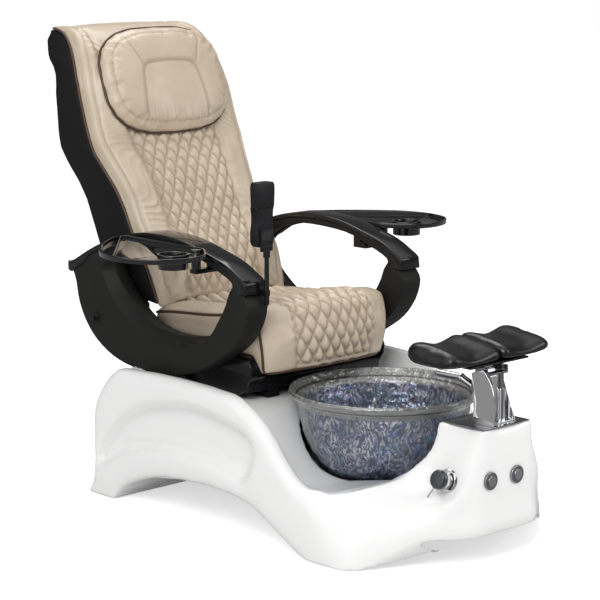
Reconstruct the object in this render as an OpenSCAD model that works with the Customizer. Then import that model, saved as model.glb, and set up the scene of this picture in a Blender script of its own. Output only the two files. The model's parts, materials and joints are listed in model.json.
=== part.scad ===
/* [Base shell] */
// Width of the base shell
base_w = 840; // [800:5:860]
// Height of the deck that carries the seat
deck_z = 360; // [350:1:366]
// Height of the side wings
wing_z = 424; // [414:1:430]
// Depth of the recess between the wing and the arch band
recess_d = 45; // [25:1:60]
// Height of the arch under the base
arch_z = 122; // [112:1:126]
// Thickness of the moulded shell
shell_t = 8; // [6:0.5:10]
// Width of the trough between the wings
trough_w = 730; // [724:1:740]

/* [Front console] */
// Distance from the origin to the front face of the console
face_y = 866; // [856:1:876]
// Height of the console top
console_z = 378; // [370:1:384]
// Width of the console top
console_w = 200; // [190:1:220]
// Diameter of the air button bezels
bezel_d = 50; // [44:1:54]
// Travel of the air buttons
button_travel = 3; // [2:0.5:4]
// Height of the air buttons
button_z = 236; // [226:1:244]
// Diameter of the valve flange
flange_d = 72; // [66:1:76]
// Diameter of the valve knob
knob_d = 55; // [46:1:58]

/* [Foot bowl] */
// Outer radius of the rim
rim_r = 278; // [270:1:282]
// Height of the rim above the floor
rim_z = 410; // [402:1:414]
// Height of the bowl floor above the ground
bowl_z = 165; // [162:1:172]
// Glass thickness
glass_t = 9; // [7:0.5:11]
// Distance of the bowl axis in front of the origin
bowl_y = 390; // [386:1:394]
// Diameter of the drain hole
drain_d = 44; // [36:1:50]

/* [Footrest] */
// Width over both pads
pad_w = 420; // [380:5:440]
// Depth of a pad
pad_l = 190; // [170:5:200]
// Height of the underside of the pads
pad_z = 553; // [549:1:562]
// Thickness of a pad at its middle
pad_t = 40; // [34:1:50]
// Width of the footrest column
column_w = 110; // [100:1:120]
// Sheet thickness of the column
sheet_t = 4; // [3:0.5:5]
// Lift travel of the footrest
lift = 50; // [30:5:60]
// Diameter of the spout
spout_d = 22; // [18:1:26]

/* [Seat] */
// Width of the seat cushion
seat_w = 530; // [510:2:532]
// Height of the seat cushion at its rear edge
seat_z = 582; // [574:1:590]
// Height of the seat pan
pan_z = 482; // [480:1:486]
// Rearward travel of the seat
slide = 120; // [80:5:120]
// Steel sheet thickness of the frame plates
plate_t = 6; // [4:0.5:6]
// Width of a quilt diamond
diamond_w = 46; // [40:1:50]
// Height of the sewn tufts
tuft = 6; // [3:0.5:8]

/* [Arms] */
// Clearance between the seat cushion and an arm
arm_clear = 12; // [12:0.5:15]
// Thickness of an arm
arm_t = 78; // [70:1:80]
// Thickness of the gloss cap on an arm
cap_t = 16; // [10:1:20]
// Diameter of the arm bolts
bolt_d = 16; // [12:1:18]

/* [Trays] */
// Diameter of the cup holder
cup_d = 80; // [70:1:84]
// Depth of the cup holder
cup_h = 46; // [36:1:50]
// Height of the tray rim
tray_rim = 15; // [12:1:16]
// Wall thickness of the trays
tray_t = 3; // [2.5:0.5:4]

/* [Back] */
// Clearance between the back and an arm
waist_clear = 13; // [11:1:23]
// How much wider each side of the back is at its shoulders
shoulder = 36; // [26:1:40]
// Wall thickness of the back shell
back_t = 5; // [4:0.5:7]
// Travel of the massage carriage
massage_travel = 250; // [200:5:260]
// Diameter of the massage rollers
roller_d = 56; // [46:1:60]

/* [Hidden] */
$fn = 48;
GAP = 0.3;          // seat gap between separate pieces
RUN = 0.05;         // radial clearance of a running fit
hw = base_w / 2;
trough = trough_w / 2;
core = hw - recess_d;
rail_x = 165;       // chassis rails under the deck
rear_foot_y = 412.5;
track_x = 170;      // seat slide rails
bowl_body_r = rim_r - 28;
bowl_floor_r = bowl_body_r - 100;
seat_hw = seat_w / 2;
seat_rear = 345;                    // the seat cushion ends under the back's lower edge
arm_in = seat_w / 2 + arm_clear;
arm_out = arm_in + arm_t;
cap_lip = 2;        // how far a cap stands out from its arm
waist_w = arm_in - waist_clear;
shoulder_w = waist_w + shoulder;
side_in = arm_in - GAP - plate_t;   // inner face of the seat frame's side plates
pivot = [405, 530];                 // recline pivot in Y and Z
pivot_d = 16;
drive_base = [20, 455];             // recline drive: fixed eye
drive_top = [455, 445];             // recline drive: eye on the back frame
drive_pin = 12;
drive_len = norm(drive_top - drive_base);
drive_turn = atan2(drive_top[1] - drive_base[1], drive_top[0] - drive_base[0]);
recline_lean = 22.5;                // lean of the massage track
tray_pivot = [arm_out + 28, -5];
tray_top = 812;
tray_hub_r = 22;
tray_pin_d = 12;
stalk = [-arm_in - 15, -176];
lift_d = 16;                        // footrest guide posts
tilt_axis = [-790, 529];            // footrest tilt pin in Y and Z
pump = [0, 190, 235];
origin_y = 8;                       // moves the drawing so the box centre is the origin
deck_under = deck_z - shell_t;
facet_lean = 17.5;                  // lean of the console's side facets
valve_at = [-149.5, -780, 233];
barrel_out = 27;                    // the valve's barrel and knob, measured out along its axis
knob_out = 46;
barrel_d = 44;
screw_xs = [-138, 48];
screw_zs = [122, 238];

// ---- shared shapes -------------------------------------------------------------------------

// A point on the smooth curve through b and c, whose neighbours are a and d.
function between(a, b, c, d, t) =
    0.5 * (2 * b + (c - a) * t + (2 * a - 5 * b + 4 * c - d) * t * t
        + (3 * b - a - 3 * c + d) * t * t * t);

// A smooth open curve through points p, with n steps from each point to the next.
function smooth(p, n = 4) = let (last = len(p) - 1)
    [for (i = [0 : last - 1]) let (
            a = i > 0 ? p[i - 1] : 2 * p[0] - p[1],
            d = i < last - 1 ? p[i + 2] : 2 * p[last] - p[last - 1])
        for (k = [0 : n - 1]) between(a, p[i], p[i + 1], d, k / n), p[last]];

// The same curve p with n equal steps along it.
function even(p, n) = let (
        s = [for (i = 0, d = 0; i < len(p);
            d = i + 1 < len(p) ? d + norm(p[i + 1] - p[i]) : d, i = i + 1) d],
        xs = [for (i = [0 : len(p) - 1]) [s[i], p[i][0]]],
        ys = [for (i = [0 : len(p) - 1]) [s[i], p[i][1]]])
    [for (k = [0 : n]) let (d = k / n * s[len(s) - 1]) [lookup(d, xs), lookup(d, ys)]];

function reversed(p) = [for (i = [len(p) - 1 : -1 : 0]) p[i]];
function unit(v) = v / max(norm(v), 0.000001);
function left_of(v) = [-v[1], v[0]];

// A counter-clockwise outline moved inwards by t.
function inset(p, t) = let (n = len(p))
    [for (i = [0 : n - 1]) let (
            a = left_of(unit(p[i] - p[(i + n - 1) % n])),
            b = left_of(unit(p[(i + 1) % n] - p[i])))
        p[i] + (a + b) * t / (1 + a * b)];

// Extrudes a Y-Z outline along X from x0 to x1.
module along_x(x0, x1) {
    rotate([90, 0, 90]) translate([0, 0, x0]) linear_extrude(x1 - x0) children();
}

// A named colour, with the drawing moved onto the part's origin.
module finish(c) {
    translate([0, origin_y, 0]) color(c) children();
}

module both_sides() {
    children();
    mirror([1, 0, 0]) children();
}

module block(from, to) {
    translate(from) cube(to - from);
}

module rod_x(d, x0, x1, yz) {
    translate([x0, yz[0], yz[1]]) rotate([0, 90, 0]) cylinder(d = d, h = x1 - x0);
}

module rod_between(a, b, d) let (v = b - a) {
    translate(a) rotate([0, acos(v[2] / norm(v)), atan2(v[1], v[0])]) cylinder(d = d, h = norm(v));
}

// A bent tube through points p, with round elbows.
module pipe(p, d) {
    for (i = [0 : len(p) - 2]) rod_between(p[i], p[i + 1], d);
    for (i = [1 : len(p) - 2]) translate(p[i]) sphere(d = 1.12 * d, $fn = 24);
}

// A hose through points p, with a collar over each bend.
module hose(p, d) {
    for (i = [0 : len(p) - 2]) rod_between(p[i], p[i + 1], d);
    for (i = [1 : len(p) - 2])
        let (v = 0.75 * d * unit(unit(p[i + 1] - p[i]) + unit(p[i] - p[i - 1])))
            rod_between(p[i] - v, p[i] + v, 1.3 * d);
}

// A closed skin over rings[i][j]: each ring is a closed loop, and both ends are capped.
// Loops run clockwise as seen from the last ring. Cells are split along the diagonal that
// joins points whose i + j is even. The ends fan out from the loops' centres or from hubs, or
// are made of the triangles in cap, which number the loop's points.
module skin(rings, hubs = [], cap = []) {
    n = len(rings);
    m = len(rings[0]);
    mid = hubs ? hubs : [for (e = [0, n - 1]) [for (k = [0 : 2])
        let (s = [for (p = rings[e]) p[k]]) s * [for (v = s) 1] / m]];
    quads = [for (i = [0 : n - 2]) for (j = [0 : m - 1]) let (
            a = i * m + j, b = i * m + (j + 1) % m, c = a + m, d = b + m)
        for (t = (i + j) % 2 == 0 ? [[a, b, d], [a, d, c]] : [[a, b, c], [b, d, c]]) t];
    e = (n - 1) * m;
    ends = cap ? [for (t = cap) for (q = [[t[0], t[2], t[1]], [e + t[0], e + t[1], e + t[2]]]) q]
        : [for (j = [0 : m - 1]) let (k = (j + 1) % m)
            for (t = [[n * m, k, j], [n * m + 1, e + j, e + k]]) t];
    polyhedron(concat([for (r = rings) for (p = r) p], cap ? [] : mid), concat(quads, ends));
}

// ---- base shell ----------------------------------------------------------------------------

rear_edge = concat(smooth([[486, 0], [466, 40], [457, 80]], 3),
    smooth([[457, 252], [443, 300], [398, wing_z - 58]], 3));
wing_top = smooth([[341, wing_z - 11], [265, wing_z - 6], [75, wing_z], [-147, wing_z - 7],
    [-211, wing_z - 23], [-311, wing_z - 83], [-402, wing_z - 184], [-458, wing_z - 224],
    [-540, 140]], 3);
arch = smooth([[-490, 0], [-431, 18], [-357, 54], [-282, arch_z - 27], [-244, arch_z - 16],
    [-166, arch_z - 4], [-52, arch_z], [70, arch_z - 8], [163, arch_z - 20], [282, arch_z - 61],
    [331, 27], [357, 0]], 3);
silhouette = concat(rear_edge, wing_top, [[-540, 0]], arch);
deck_line = smooth([[-100, deck_z], [-160, deck_z - 22], [-230, 272], [-300, 212], [-390, 182],
    [-470, 178], [-545, 190], [-610, 212], [-660, 234]], 3);
trough_cut = concat([[600, 600], [-660, 600]], reversed(deck_line), [[600, deck_z]]);
core_outline = concat(rear_edge, [[380, deck_z]], [for (p = deck_line) if (p[0] > -546) p],
    [[-545, 0]], arch);
seam = smooth([[442, 92], [430, 125], [400, 172], [366, 214], [311, 260], [243, 300], [174, 322],
    [107, 335], [25, 347], [-55, 345], [-168, 327], [-240, 308], [-268, 280], [-262, 230],
    [-240, 190]], 3);
band_top = smooth([[-230, 172], [-167, 187], [-52, 203], [110, 206], [236, 187], [313, 164],
    [384, 127]], 3);
recess = concat(band_top, seam);

// Levels of the front body: height, rear end, then half width and front of the side, the
// lip, the ridge and the flat face.
levels = smooth([
    [0, -500, hw, -570, hw - 5, -628, hw - 35, -668, 150, -685],
    [75, -480, hw - 1, -560, hw - 35, -650, 262, -765, 130, 5 - face_y],
    [135, -490, hw - 4, -540, 300, -690, 207, -805, 118, 1 - face_y],
    [190, -460, hw - 20, -492, 172, -752, 176, -835, 108, -face_y],
    [214, -540, 300, -575, 156, -747, 158, -848, 105, -face_y],
    [245, -630, 205, -662, 147, -745, 146, -855, 104, -face_y],
    [270, -672, 166, -690, 140, -745, 137, 7 - face_y, 104, -face_y],
    [315, -692, 130, -698, 124, -740, 122, 4 - face_y, 106, -face_y],
    [console_z, -697, console_w / 2 + 4, -699, console_w / 2 + 3, -740, console_w / 2,
        2 - face_y, console_w / 2 - 2, -face_y]], 2);

// A loop at one level, with its walls moved in by t and lowered by drop.
function level_loop(v, t = 0, drop = 0) = let (
        half = [[v[2] - t, v[1]], [v[2] - t, v[3] + t / 2], [v[4] - t, v[5] + t],
            [v[6] - t, v[7] + t], [v[8] - t, v[9] + t]])
    [for (p = concat(half, [for (q = reversed(half)) [-q[0], q[1]]])) [p[0], p[1], v[0] - drop]];

// Where the front body is hollow, in Y and Z.
front_hollow = [[-900, -9], [-485, -9], [-485, 90], [-560, 150], [-610, 180], [-660, 205],
    [-708, 262], [-708, console_z - shell_t - 1], [-900, console_z - shell_t - 1]];

module front_body() skin([for (v = levels) level_loop(v)]);
module front_cavity() intersection() {
    skin([for (v = levels) level_loop(v, shell_t, shell_t)]);
    along_x(-hw, hw) polygon(reversed(front_hollow));
}

// The bowl's outer outline from its floor to its rim, grown by g.
function bowl_side(g = 0) = smooth([[bowl_floor_r + g, bowl_z - g],
    [bowl_floor_r + 38 + g, bowl_z + 14 - g / 2], [bowl_body_r - 34 + g, bowl_z + 62],
    [bowl_body_r - 13 + g, bowl_z + 122], [bowl_body_r - 3 + g, bowl_z + 176],
    [bowl_body_r + 2 + g, rim_z - 42], [bowl_body_r + 16 + g, rim_z - 26],
    [rim_r + g, rim_z - 12]], 3);

module base_shell() {
    finish("white") difference() {
        union() {
            along_x(-hw, hw) polygon(silhouette);
            front_body();
        }
        along_x(-trough, trough) polygon(trough_cut);
        both_sides() along_x(core, hw + 1) polygon(recess);
        along_x(shell_t - core, core - shell_t) polygon(inset(core_outline, shell_t));
        front_cavity();
        translate([0, -bowl_y, 0]) rotate_extrude($fn = 72)
            polygon(concat([[0, bowl_z - 15], [bowl_floor_r + 2, bowl_z - 15]], bowl_side(2),
                [[rim_r + 2, rim_z + 60], [0, rim_z + 60]]));
        for (x = [-rail_x, rail_x]) translate([x, rear_foot_y, -1]) cylinder(r = 26, h = 20);
        rod_at_valve(barrel_d + 2, -30, 10);
        rod_at_valve(flange_d + 1, 1 - GAP, 12);
        for (b = button_places) {
            rod_at_button(b, bezel_d - 14, -30, 10);
            rod_at_button(b, bezel_d + 1, 0, 12);
        }
        for (x = inlet_xs) translate([x, 440, 200]) rotate([-90, 0, 0]) cylinder(r = 14, h = 40);
        for (x = screw_xs) for (z = screw_zs)
            translate([x, 440, z]) rotate([-90, 0, 0]) cylinder(d = 5, h = 40);
        block([80, 430, 180], [132, 480, 212]);
    }
}

// ---- chassis and plumbing ------------------------------------------------------------------

module base_frame() {
    finish("dimgray") {
        for (x = [-rail_x, rail_x]) {
            block([x - 20, -530, arch_z + 10], [x + 20, 395, bowl_z - 15]);
            along_x(x - 15, x + 15) polygon([[-550, 14], [-520, 14], [-520, arch_z + 10],
                [-534, arch_z + 10], [-550, arch_z - 10]]);
            block([x - 15, 395, 14], [x + 15, 430, bowl_z - 15]);
            for (y = [-20, 290])
                block([x - 15, y, bowl_z - 15], [x + 15, y + 30, deck_under - 30]);
        }
        for (y = [-20, 290]) block([-300, y, deck_under - 30], [300, y + 30, deck_under - GAP]);
        for (y = [125, 235]) block([20 - rail_x, y, arch_z + 10], [rail_x - 20, y + 30, bowl_z - 15]);
        for (y = [70, 220]) {
            block([rail_x, y, bowl_z - 15], [rail_x + 20, y + 20, 195 - GAP]);
            block([rail_x, y, 183], [330, y + 20, 195 - GAP]);
        }
        difference() {
            block([10 - rail_x, -500, bowl_z - 15], [rail_x - 10, -280, bowl_z - 5]);
            translate([0, -bowl_y, bowl_z - 20]) cylinder(r = drain_d / 2 + 24, h = 30);
        }
        for (y = [-500, -300]) block([20 - rail_x, y, bowl_z - 28], [rail_x - 20, y + 20, bowl_z - 15]);
    }
}

module levelling_feet() {
    finish("gray") for (x = [-rail_x, rail_x]) for (y = [-535, rear_foot_y]) translate([x, y, 0]) {
        cylinder(r1 = 23, r2 = 20, h = 10);
        cylinder(d = 12, h = 14 - GAP);
    }
}

module rear_panel() {
    finish("whitesmoke") difference() {
        block([-150, 457 + GAP, 110], [60, 460 + GAP, 250]);
        for (x = screw_xs) for (z = screw_zs)
            translate([x, 450, z]) rotate([-90, 0, 0]) cylinder(d = 5, h = 20);
        for (x = inlet_xs) translate([x, 450, 200]) rotate([-90, 0, 0]) cylinder(r = 14, h = 20);
    }
}

module panel_screws() {
    finish("silver") for (x = screw_xs) for (z = screw_zs) translate([x, 460 + 2 * GAP, z])
        rotate([-90, 0, 0]) difference() {
            union() {
                cylinder(d1 = 10, d2 = 7, h = 2.4);
                translate([0, 0, -6]) cylinder(d = 4, h = 7);
            }
            translate([-0.6, -3, 1.4]) cube([1.2, 6, 2]);
        }
}

inlet_xs = [-110, -50];

module water_inlets() {
    finish("goldenrod") for (x = inlet_xs) translate([x, 425, 200]) rotate([-90, 0, 0])
        difference() {
            union() {
                cylinder(r = 10.4, h = 55);
                cylinder(r = 15, h = 12, $fn = 6);
                translate([0, 0, 35 + 2 * GAP]) cylinder(r = 18, h = 3);
            }
            translate([0, 0, -1]) cylinder(r = 7.5, h = 60);
        }
}

module supply_hoses() {
    finish("silver") for (i = [0, 1])
        hose([[inlet_xs[i], 425 - GAP, 200], [inlet_xs[i], 360 - 60 * i, 200],
            [-262 + 30 * i, 300 - 60 * i, 190], [-262 + 30 * i, -500, 125 - 25 * i],
            [-124, -769 - 22 * i, 130 - 30 * i], [-124, -769 - 22 * i, 206]], 12);
}

module control_box() {
    finish("dimgray") {
        block([195, 60, 200], [325, 250, 262]);
        block([190, 70, 195], [330, 90, 200]);
        block([190, 220, 195], [330, 240, 200]);
        for (x = [215, 245, 275, 305]) translate([x, 60, 230]) rotate([90, 0, 0])
            cylinder(d = 14, h = 14);
    }
}

module power_inlet() {
    finish("black") difference() {
        union() {
            block([76, 457 + GAP, 176], [136, 462, 216]);
            block([81, 436, 181], [131, 458, 211]);
        }
        block([88, 446, 185], [124, 470, 207]);
    }
}

module bowl_gasket() {
    finish("black") translate([0, -bowl_y, bowl_z - 5 + GAP]) difference() {
        cylinder(r = bowl_floor_r - 22, h = 5 - 2 * GAP);
        translate([0, 0, -1]) cylinder(r = bowl_floor_r - 50, h = 8);
    }
}

module foot_bowl() {
    side = bowl_side();
    last = len(side) - 1;
    inner = [for (i = [last - 2 : -1 : 3]) let (v = unit(side[i + 1] - side[i - 1]))
        [side[i][0] - v[1] * glass_t, max(side[i][1] + v[0] * glass_t, bowl_z + glass_t + 0.5)]];
    finish("slategray") translate([0, -bowl_y, 0]) rotate_extrude($fn = 96)
        polygon(concat([[drain_d / 2, bowl_z]], side, [[rim_r, rim_z], [rim_r - glass_t, rim_z]],
            inner, [[bowl_floor_r, bowl_z + glass_t], [drain_d / 2, bowl_z + glass_t]]));
}

module drain_strainer() {
    finish("silver") translate([0, -bowl_y, bowl_z]) difference() {
        union() {
            translate([0, 0, glass_t + GAP]) cylinder(d = drain_d + 18, h = 4);
            translate([0, 0, -12]) cylinder(d = drain_d - 1, h = glass_t + 13);
        }
        for (a = [0 : 60 : 300]) rotate(a) translate([drain_d / 4, 0, -20])
            cylinder(d = 7, h = 60, $fn = 24);
        translate([0, 0, -20]) cylinder(d = drain_d - 8, h = 20 + glass_t - 2);
    }
}

module drain_pipe() {
    finish("gainsboro") translate([0, -bowl_y, 0]) difference() {
        union() {
            translate([0, 0, 72]) cylinder(r = 27, h = 44);
            translate([0, 0, 100]) cylinder(r = 20, h = bowl_z - 120);
            translate([0, 0, bowl_z - 32]) cylinder(d = drain_d + 8, h = 32 - GAP);
            translate([-20, 0, 94]) rotate([0, -90, 0]) cylinder(r = 14, h = 46);
        }
        translate([0, 0, 78]) cylinder(r = 16.5, h = bowl_z);
        translate([0, 0, bowl_z - 12 - GAP]) cylinder(d = drain_d, h = 20);
    }
}

module pump_housing() {
    finish("darkslategray") translate(pump) difference() {
        union() {
            rod_x(104, -30, 110, [0, 0]);
            rod_x(128, -80, -30, [0, 0]);
            rod_x(40, -108, -80, [0, 0]);
            translate([-55, 0, 40]) cylinder(r = 14, h = pump_port - 40);
            for (x = [-20, 80]) block([x, -72, pump_foot], [x + 22, 72, -20]);
            block([-20, -72, pump_foot], [102, 72, pump_foot + 5]);
        }
        rod_x(108, -74, -36, [0, 0]);
        rod_x(28, -120, -70, [0, 0]);
        rod_x(12 + 2 * RUN, -40, 60, [0, 0]);
        translate([-55, 0, 40]) cylinder(r = 10, h = 60);
    }
}

pump_foot = bowl_z - 15 + GAP - pump[2];
pump_port = 72;                     // height of the outlet's end above the pump's axis

module pump_impeller() {
    finish("ivory") translate(pump) {
        rod_x(12, -62, 58, [0, 0]);
        rod_x(92, -46, -41, [0, 0]);
        for (a = [0 : 60 : 300]) rotate([a, 0, 0]) block([-66, 10, -2], [-46, 42, 2]);
        rod_x(24, -66, -46, [0, 0]);
    }
}

module pump_hoses() {
    finish("dimgray") {
        hose([[pump[0] - 108 - GAP, pump[1], pump[2]], [-136, pump[1], 235], [-124, -40, 182],
            [-118, -225, 142], [-104, -bowl_y, 94], [-66 - GAP, -bowl_y, 94]], 22);
        hose([[-55, pump[1], pump[2] + pump_port + GAP], [-55, pump[1], 329], [-50, 140, 329],
            [-30, -40, 270], [-20, -172, 190]], 22);
    }
}

// ---- console fittings ----------------------------------------------------------------------

// Button places: centre on the surface, and the turn that points +Z out of it.
button_places = [[[-71, -face_y, button_z], [90, 0, 0]], [[37, -face_y, button_z], [90, 0, 0]],
    [[147.5, -806, button_z], [0, 90 - facet_lean, 0]]];

// A cylinder along a button's push axis, from a to b outside the surface.
module rod_at_button(place, d, a, b) {
    translate(place[0]) rotate(place[1]) translate([0, 0, a]) cylinder(d = d, h = b - a);
}

// A cylinder along the valve axis, from a to b outside the facet.
module rod_at_valve(d, a, b, d2 = 0) {
    translate(valve_at) rotate([0, facet_lean - 90, 0]) translate([0, 0, a])
        cylinder(d1 = d, d2 = d2 > 0 ? d2 : d, h = b - a);
}

module button_bezels() {
    finish("silver") for (b = button_places) difference() {
        union() {
            rod_at_button(b, bezel_d, GAP, 6);
            rod_at_button(b, bezel_d - 16, -22, 3);
        }
        rod_at_button(b, bezel_d - 20, -18, 8);
    }
}

module button_cap(b) {
    finish("lightgray") {
        rod_at_button(b, bezel_d - 20 - 2 * RUN, -10, 8.5);
        rod_at_button(b, 9, -18 + button_travel + GAP, -9);
    }
}

module button_right() button_cap(button_places[0]);
module button_left() button_cap(button_places[1]);
module button_side() button_cap(button_places[2]);

module valve_flange() {
    finish("silver") difference() {
        union() {
            rod_at_valve(flange_d, 1, 7, flange_d - 8);
            rod_at_valve(barrel_d, -30, barrel_out);
        }
        rod_at_valve(20 + 2 * RUN, -20, barrel_out + 1);
    }
}

module valve_knob() {
    finish("dimgray") {
        rod_at_valve(20, -18, barrel_out + 2);
        rod_at_valve(knob_d, barrel_out + 1, knob_out - 6);
        rod_at_valve(knob_d, knob_out - 6, knob_out, knob_d - 8);
    }
}

module valve_lever() {
    finish("silver") translate(valve_at) rotate([0, facet_lean - 90, 0])
        translate([0, 0, (barrel_out + knob_out) / 2]) rotate([0, -90, 335])
            translate([0, 0, knob_d / 2 + GAP]) cylinder(d = 6, h = 32);
}

module console_plate() {
    finish("silver") block([4 - console_w / 2, 6 - face_y, console_z + GAP],
        [console_w / 2 - 4, -702, console_z + 3]);
}

column_foot = console_z + 3 + GAP;
near_cheek = concat(smooth([[-860, column_foot], [-865, 430], [-859, 470], [-845, 505],
    [-820, 536]], 4), smooth([[-777, 522], [-779, 470], [-786, 425], [-780, column_foot]], 4));
far_cheek = [[-846, column_foot], [-786, 530], [-772, 530], [-776, column_foot]];

module footrest_column() {
    inner = column_w / 2 - sheet_t;
    finish("silver") {
        along_x(-column_w / 2, -inner) polygon(reversed(near_cheek));
        along_x(inner, column_w / 2) polygon(reversed(far_cheek));
        block([-inner, -786, column_foot], [inner, sheet_t - 786, 500]);
        block([-inner, -842, column_foot], [inner, -782, console_z + 7]);
        for (x = [-post_x, post_x]) translate([x, post_y, column_foot]) difference() {
            cylinder(d = lift_d + 8, h = 90);
            translate([0, 0, 6]) cylinder(d = lift_d + 2 * RUN, h = 90);
        }
    }
}

post_x = 28;
post_y = -812;

module spout() {
    finish("silver") difference() {
        union() {
            translate([0, -758, console_z + 3 + GAP]) cylinder(d = 18, h = 70);
            pipe([[0, -758, console_z + 70], [0, -740, 468], [0, -690, 487], [0, -604, 486]], spout_d);
            translate([0, -604, 486]) sphere(d = spout_d, $fn = 32);
        }
        translate([0, -606, 460]) cylinder(d = 12, h = 24);
    }
}

module footrest_slider() {
    finish("silver") {
        for (x = [-post_x, post_x]) translate([x, post_y, console_z + 12])
            cylinder(d = lift_d, h = tilt_axis[1] - console_z - 22);
        block([-44, post_y - 12, tilt_axis[1] - 14], [44, post_y + 12, tilt_axis[1] - 8]);
        for (x = [-44, 38]) block([x, post_y - 12, tilt_axis[1] - 14],
            [x + 6, tilt_axis[0] + 10, tilt_axis[1] + 9]);
        rod_x(8, -38, 38, tilt_axis);
    }
}

bracket_w = 240;

module footrest_bracket() {
    finish("dimgray") {
        block([-bracket_w / 2, -832, pad_z - 6], [bracket_w / 2, -712, pad_z - GAP]);
        difference() {
            for (x = [-37, 27]) block([x, tilt_axis[0] - 9, tilt_axis[1] - 7],
                [x + 10, tilt_axis[0] + 9, pad_z - 6]);
            rod_x(8 + 2 * RUN, -50, 50, tilt_axis);
        }
    }
}

// A closed loop round a pad, k times its full depth and t thick at its middle.
function pad_loop(x, k, t) = [for (a = [340 : -20 : 0]) let (
        y = k * pad_l / 2 * sign(cos(a)) * pow(abs(cos(a)), 0.6),
        z = 1 + sign(sin(a)) * pow(abs(sin(a)), 0.7))
    [x, y - 754, pad_z + (1 - k) * t / 3 + z / 2 * (t + 0.13 * y) * min(1, 0.3 + k * 0.7)]];

// One padded half of the footrest: lips at both ends, with a dip for the leg between them.
module footrest_pad() {
    along = [0, 0.02, 0.08, 0.2, 0.34, 0.48, 0.62, 0.76, 0.88, 0.96, 1];
    depth = [0.72, 0.93, 1, 1, 1, 1, 1, 1, 0.98, 0.9, 0.7];
    rise = [4, 10, 14, 8, 1, -2, 1, 9, 14, 9, -2];
    half = pad_w / 2 - 2;
    finish([0.12, 0.12, 0.13]) skin([for (i = [0 : len(along) - 1])
        pad_loop(2 + along[i] * half, depth[i], pad_t + rise[i])]);
}

module footrest_pad_left() footrest_pad();
module footrest_pad_right() mirror([1, 0, 0]) footrest_pad();

// ---- seat ----------------------------------------------------------------------------------

module slide_rails() {
    finish("silver") both_sides() difference() {
        block([track_x - 24, -100, deck_z + GAP], [track_x + 24, 172 + slide, deck_z + 16]);
        block([track_x - 18.5, -101, deck_z + 3], [track_x + 18.5, 173 + slide, deck_z + 20]);
    }
}

module seat_rails() {
    finish("gray") both_sides()
        block([track_x - 18, -100, deck_z + 3 + GAP], [track_x + 18, 168, deck_z + 24]);
}

drive_z = deck_z + 12;              // axis of the slide drive

module slide_tube() {
    finish("gray") difference() {
        union() {
            block([-18, 36, deck_z + GAP], [18, 280, drive_z - 6]);
            translate([0, 34, drive_z]) rotate([-90, 0, 0]) cylinder(d = 19, h = 250);
        }
        translate([0, 33, drive_z]) rotate([-90, 0, 0]) cylinder(d = 14 + 2 * RUN, h = 240);
    }
}

module slide_rod() {
    finish("silver") {
        translate([0, -88, drive_z]) rotate([-90, 0, 0]) cylinder(d = 14, h = 88 + 130);
        block([-20, -100, deck_z + 4], [20, -88, deck_z + 24]);
    }
}

side_plate = [[-62, deck_z + 10], [60, deck_z + 10], [150, deck_z + 20], [215, 398], [300, 428],
    [400, 452], [500, 500], [540, 545], [500, 566], [405, 572], [350, 560], [310, pan_z - GAP],
    [-108, pan_z - GAP], [-120, 458], [-116, 430], [-92, 392]];

module seat_frame() {
    finish([0.08, 0.08, 0.09]) {
        difference() {
            both_sides() {
                along_x(side_in, side_in + plate_t) polygon(side_plate);
                block([side_in - 24, -100, pan_z - 6 - GAP], [side_in, seat_rear, pan_z - GAP]);
                rod_x(pivot_d, side_in - 30, side_in, pivot);
            }
            both_sides() rod_x(bolt_d + 1, side_in - 1, side_in + plate_t + 1, arm_bolt);
        }
        block([-side_in, -100, deck_z + 24 + GAP], [side_in, -60, deck_z + 54]);
        block([-side_in, 100, deck_z + 24 + GAP], [side_in, 140, deck_z + 54]);
        block([-side_in, -98, 430], [side_in, -90, pan_z - GAP]);
        for (x = [-15, 9]) difference() {
            union() {
                block([x, 0, deck_z + 30], [x + 6, 104, drive_base[1] - 26]);
                block([x, drive_base[0] - 14, deck_z + 60], [x + 6, drive_base[0] + 14, drive_base[1] + 12]);
            }
            rod_x(drive_pin, -20, 20, drive_base);
        }
        rod_x(drive_pin, -15, 15, drive_base);
    }
}

arm_bolt = [505, 536];

module seat_pan() {
    finish("burlywood") block([2 - seat_hw, -100, pan_z], [seat_hw - 2, seat_rear - 4, pan_z + 8]);
}

// Loop round the seat cushion at fraction s of its half width from the middle.
function seat_ring(s, d) = let (
        z = seat_z, bow = 62 * (1 - s * s),
        line = [for (p = smooth([[seat_rear, z - 10], [285, z + 2], [200, z + 10], [100, z + 18], [0, z + 32],
            [-75, z + 46], [-120, z + 48], [-141, z + 28], [-150, z - 30], [-149, z - 90],
            [-140, z - 146]], 4)) let (f = min(1, max(0, (60 - p[0]) / 200)))
            [p[0] - bow * f * f + d * f, p[1] + (10 * (1 - s * s) - d) * (1 - f)
                + f * 14 * (1 - s * s)]])
    concat([[seat_rear - 2 - d, pan_z + 8 + GAP], [100, pan_z + 8 + GAP], [-100 - GAP, pan_z + 8 + GAP],
        [-100 - GAP, pan_z - 6], [-112 - bow * 0.8, z - 132 + 10 * (1 - s * s)]],
        reversed(even(line, seat_rows)));

// Share of the seat's half width at height z: its front corners draw in at the bottom.
function seat_share(z) = lookup(z, [[430, 0.9], [540, 0.98], [600, 1]]);

seat_rows = 24;

// Moves a ring's quilted points out where column i and row j meet in a diamond's middle.
function quilted(ring, i, first, last, h) = let (n = len(ring))
    [for (j = [0 : n - 1]) let (
            v = unit(ring[(j + 1) % n] - ring[(j + n - 1) % n]),
            on = j >= first && j <= last && (i + j) % 2 == 1)
        ring[j] + (on ? h : 0) * left_of(v)];

quilt_n = 14;
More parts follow.
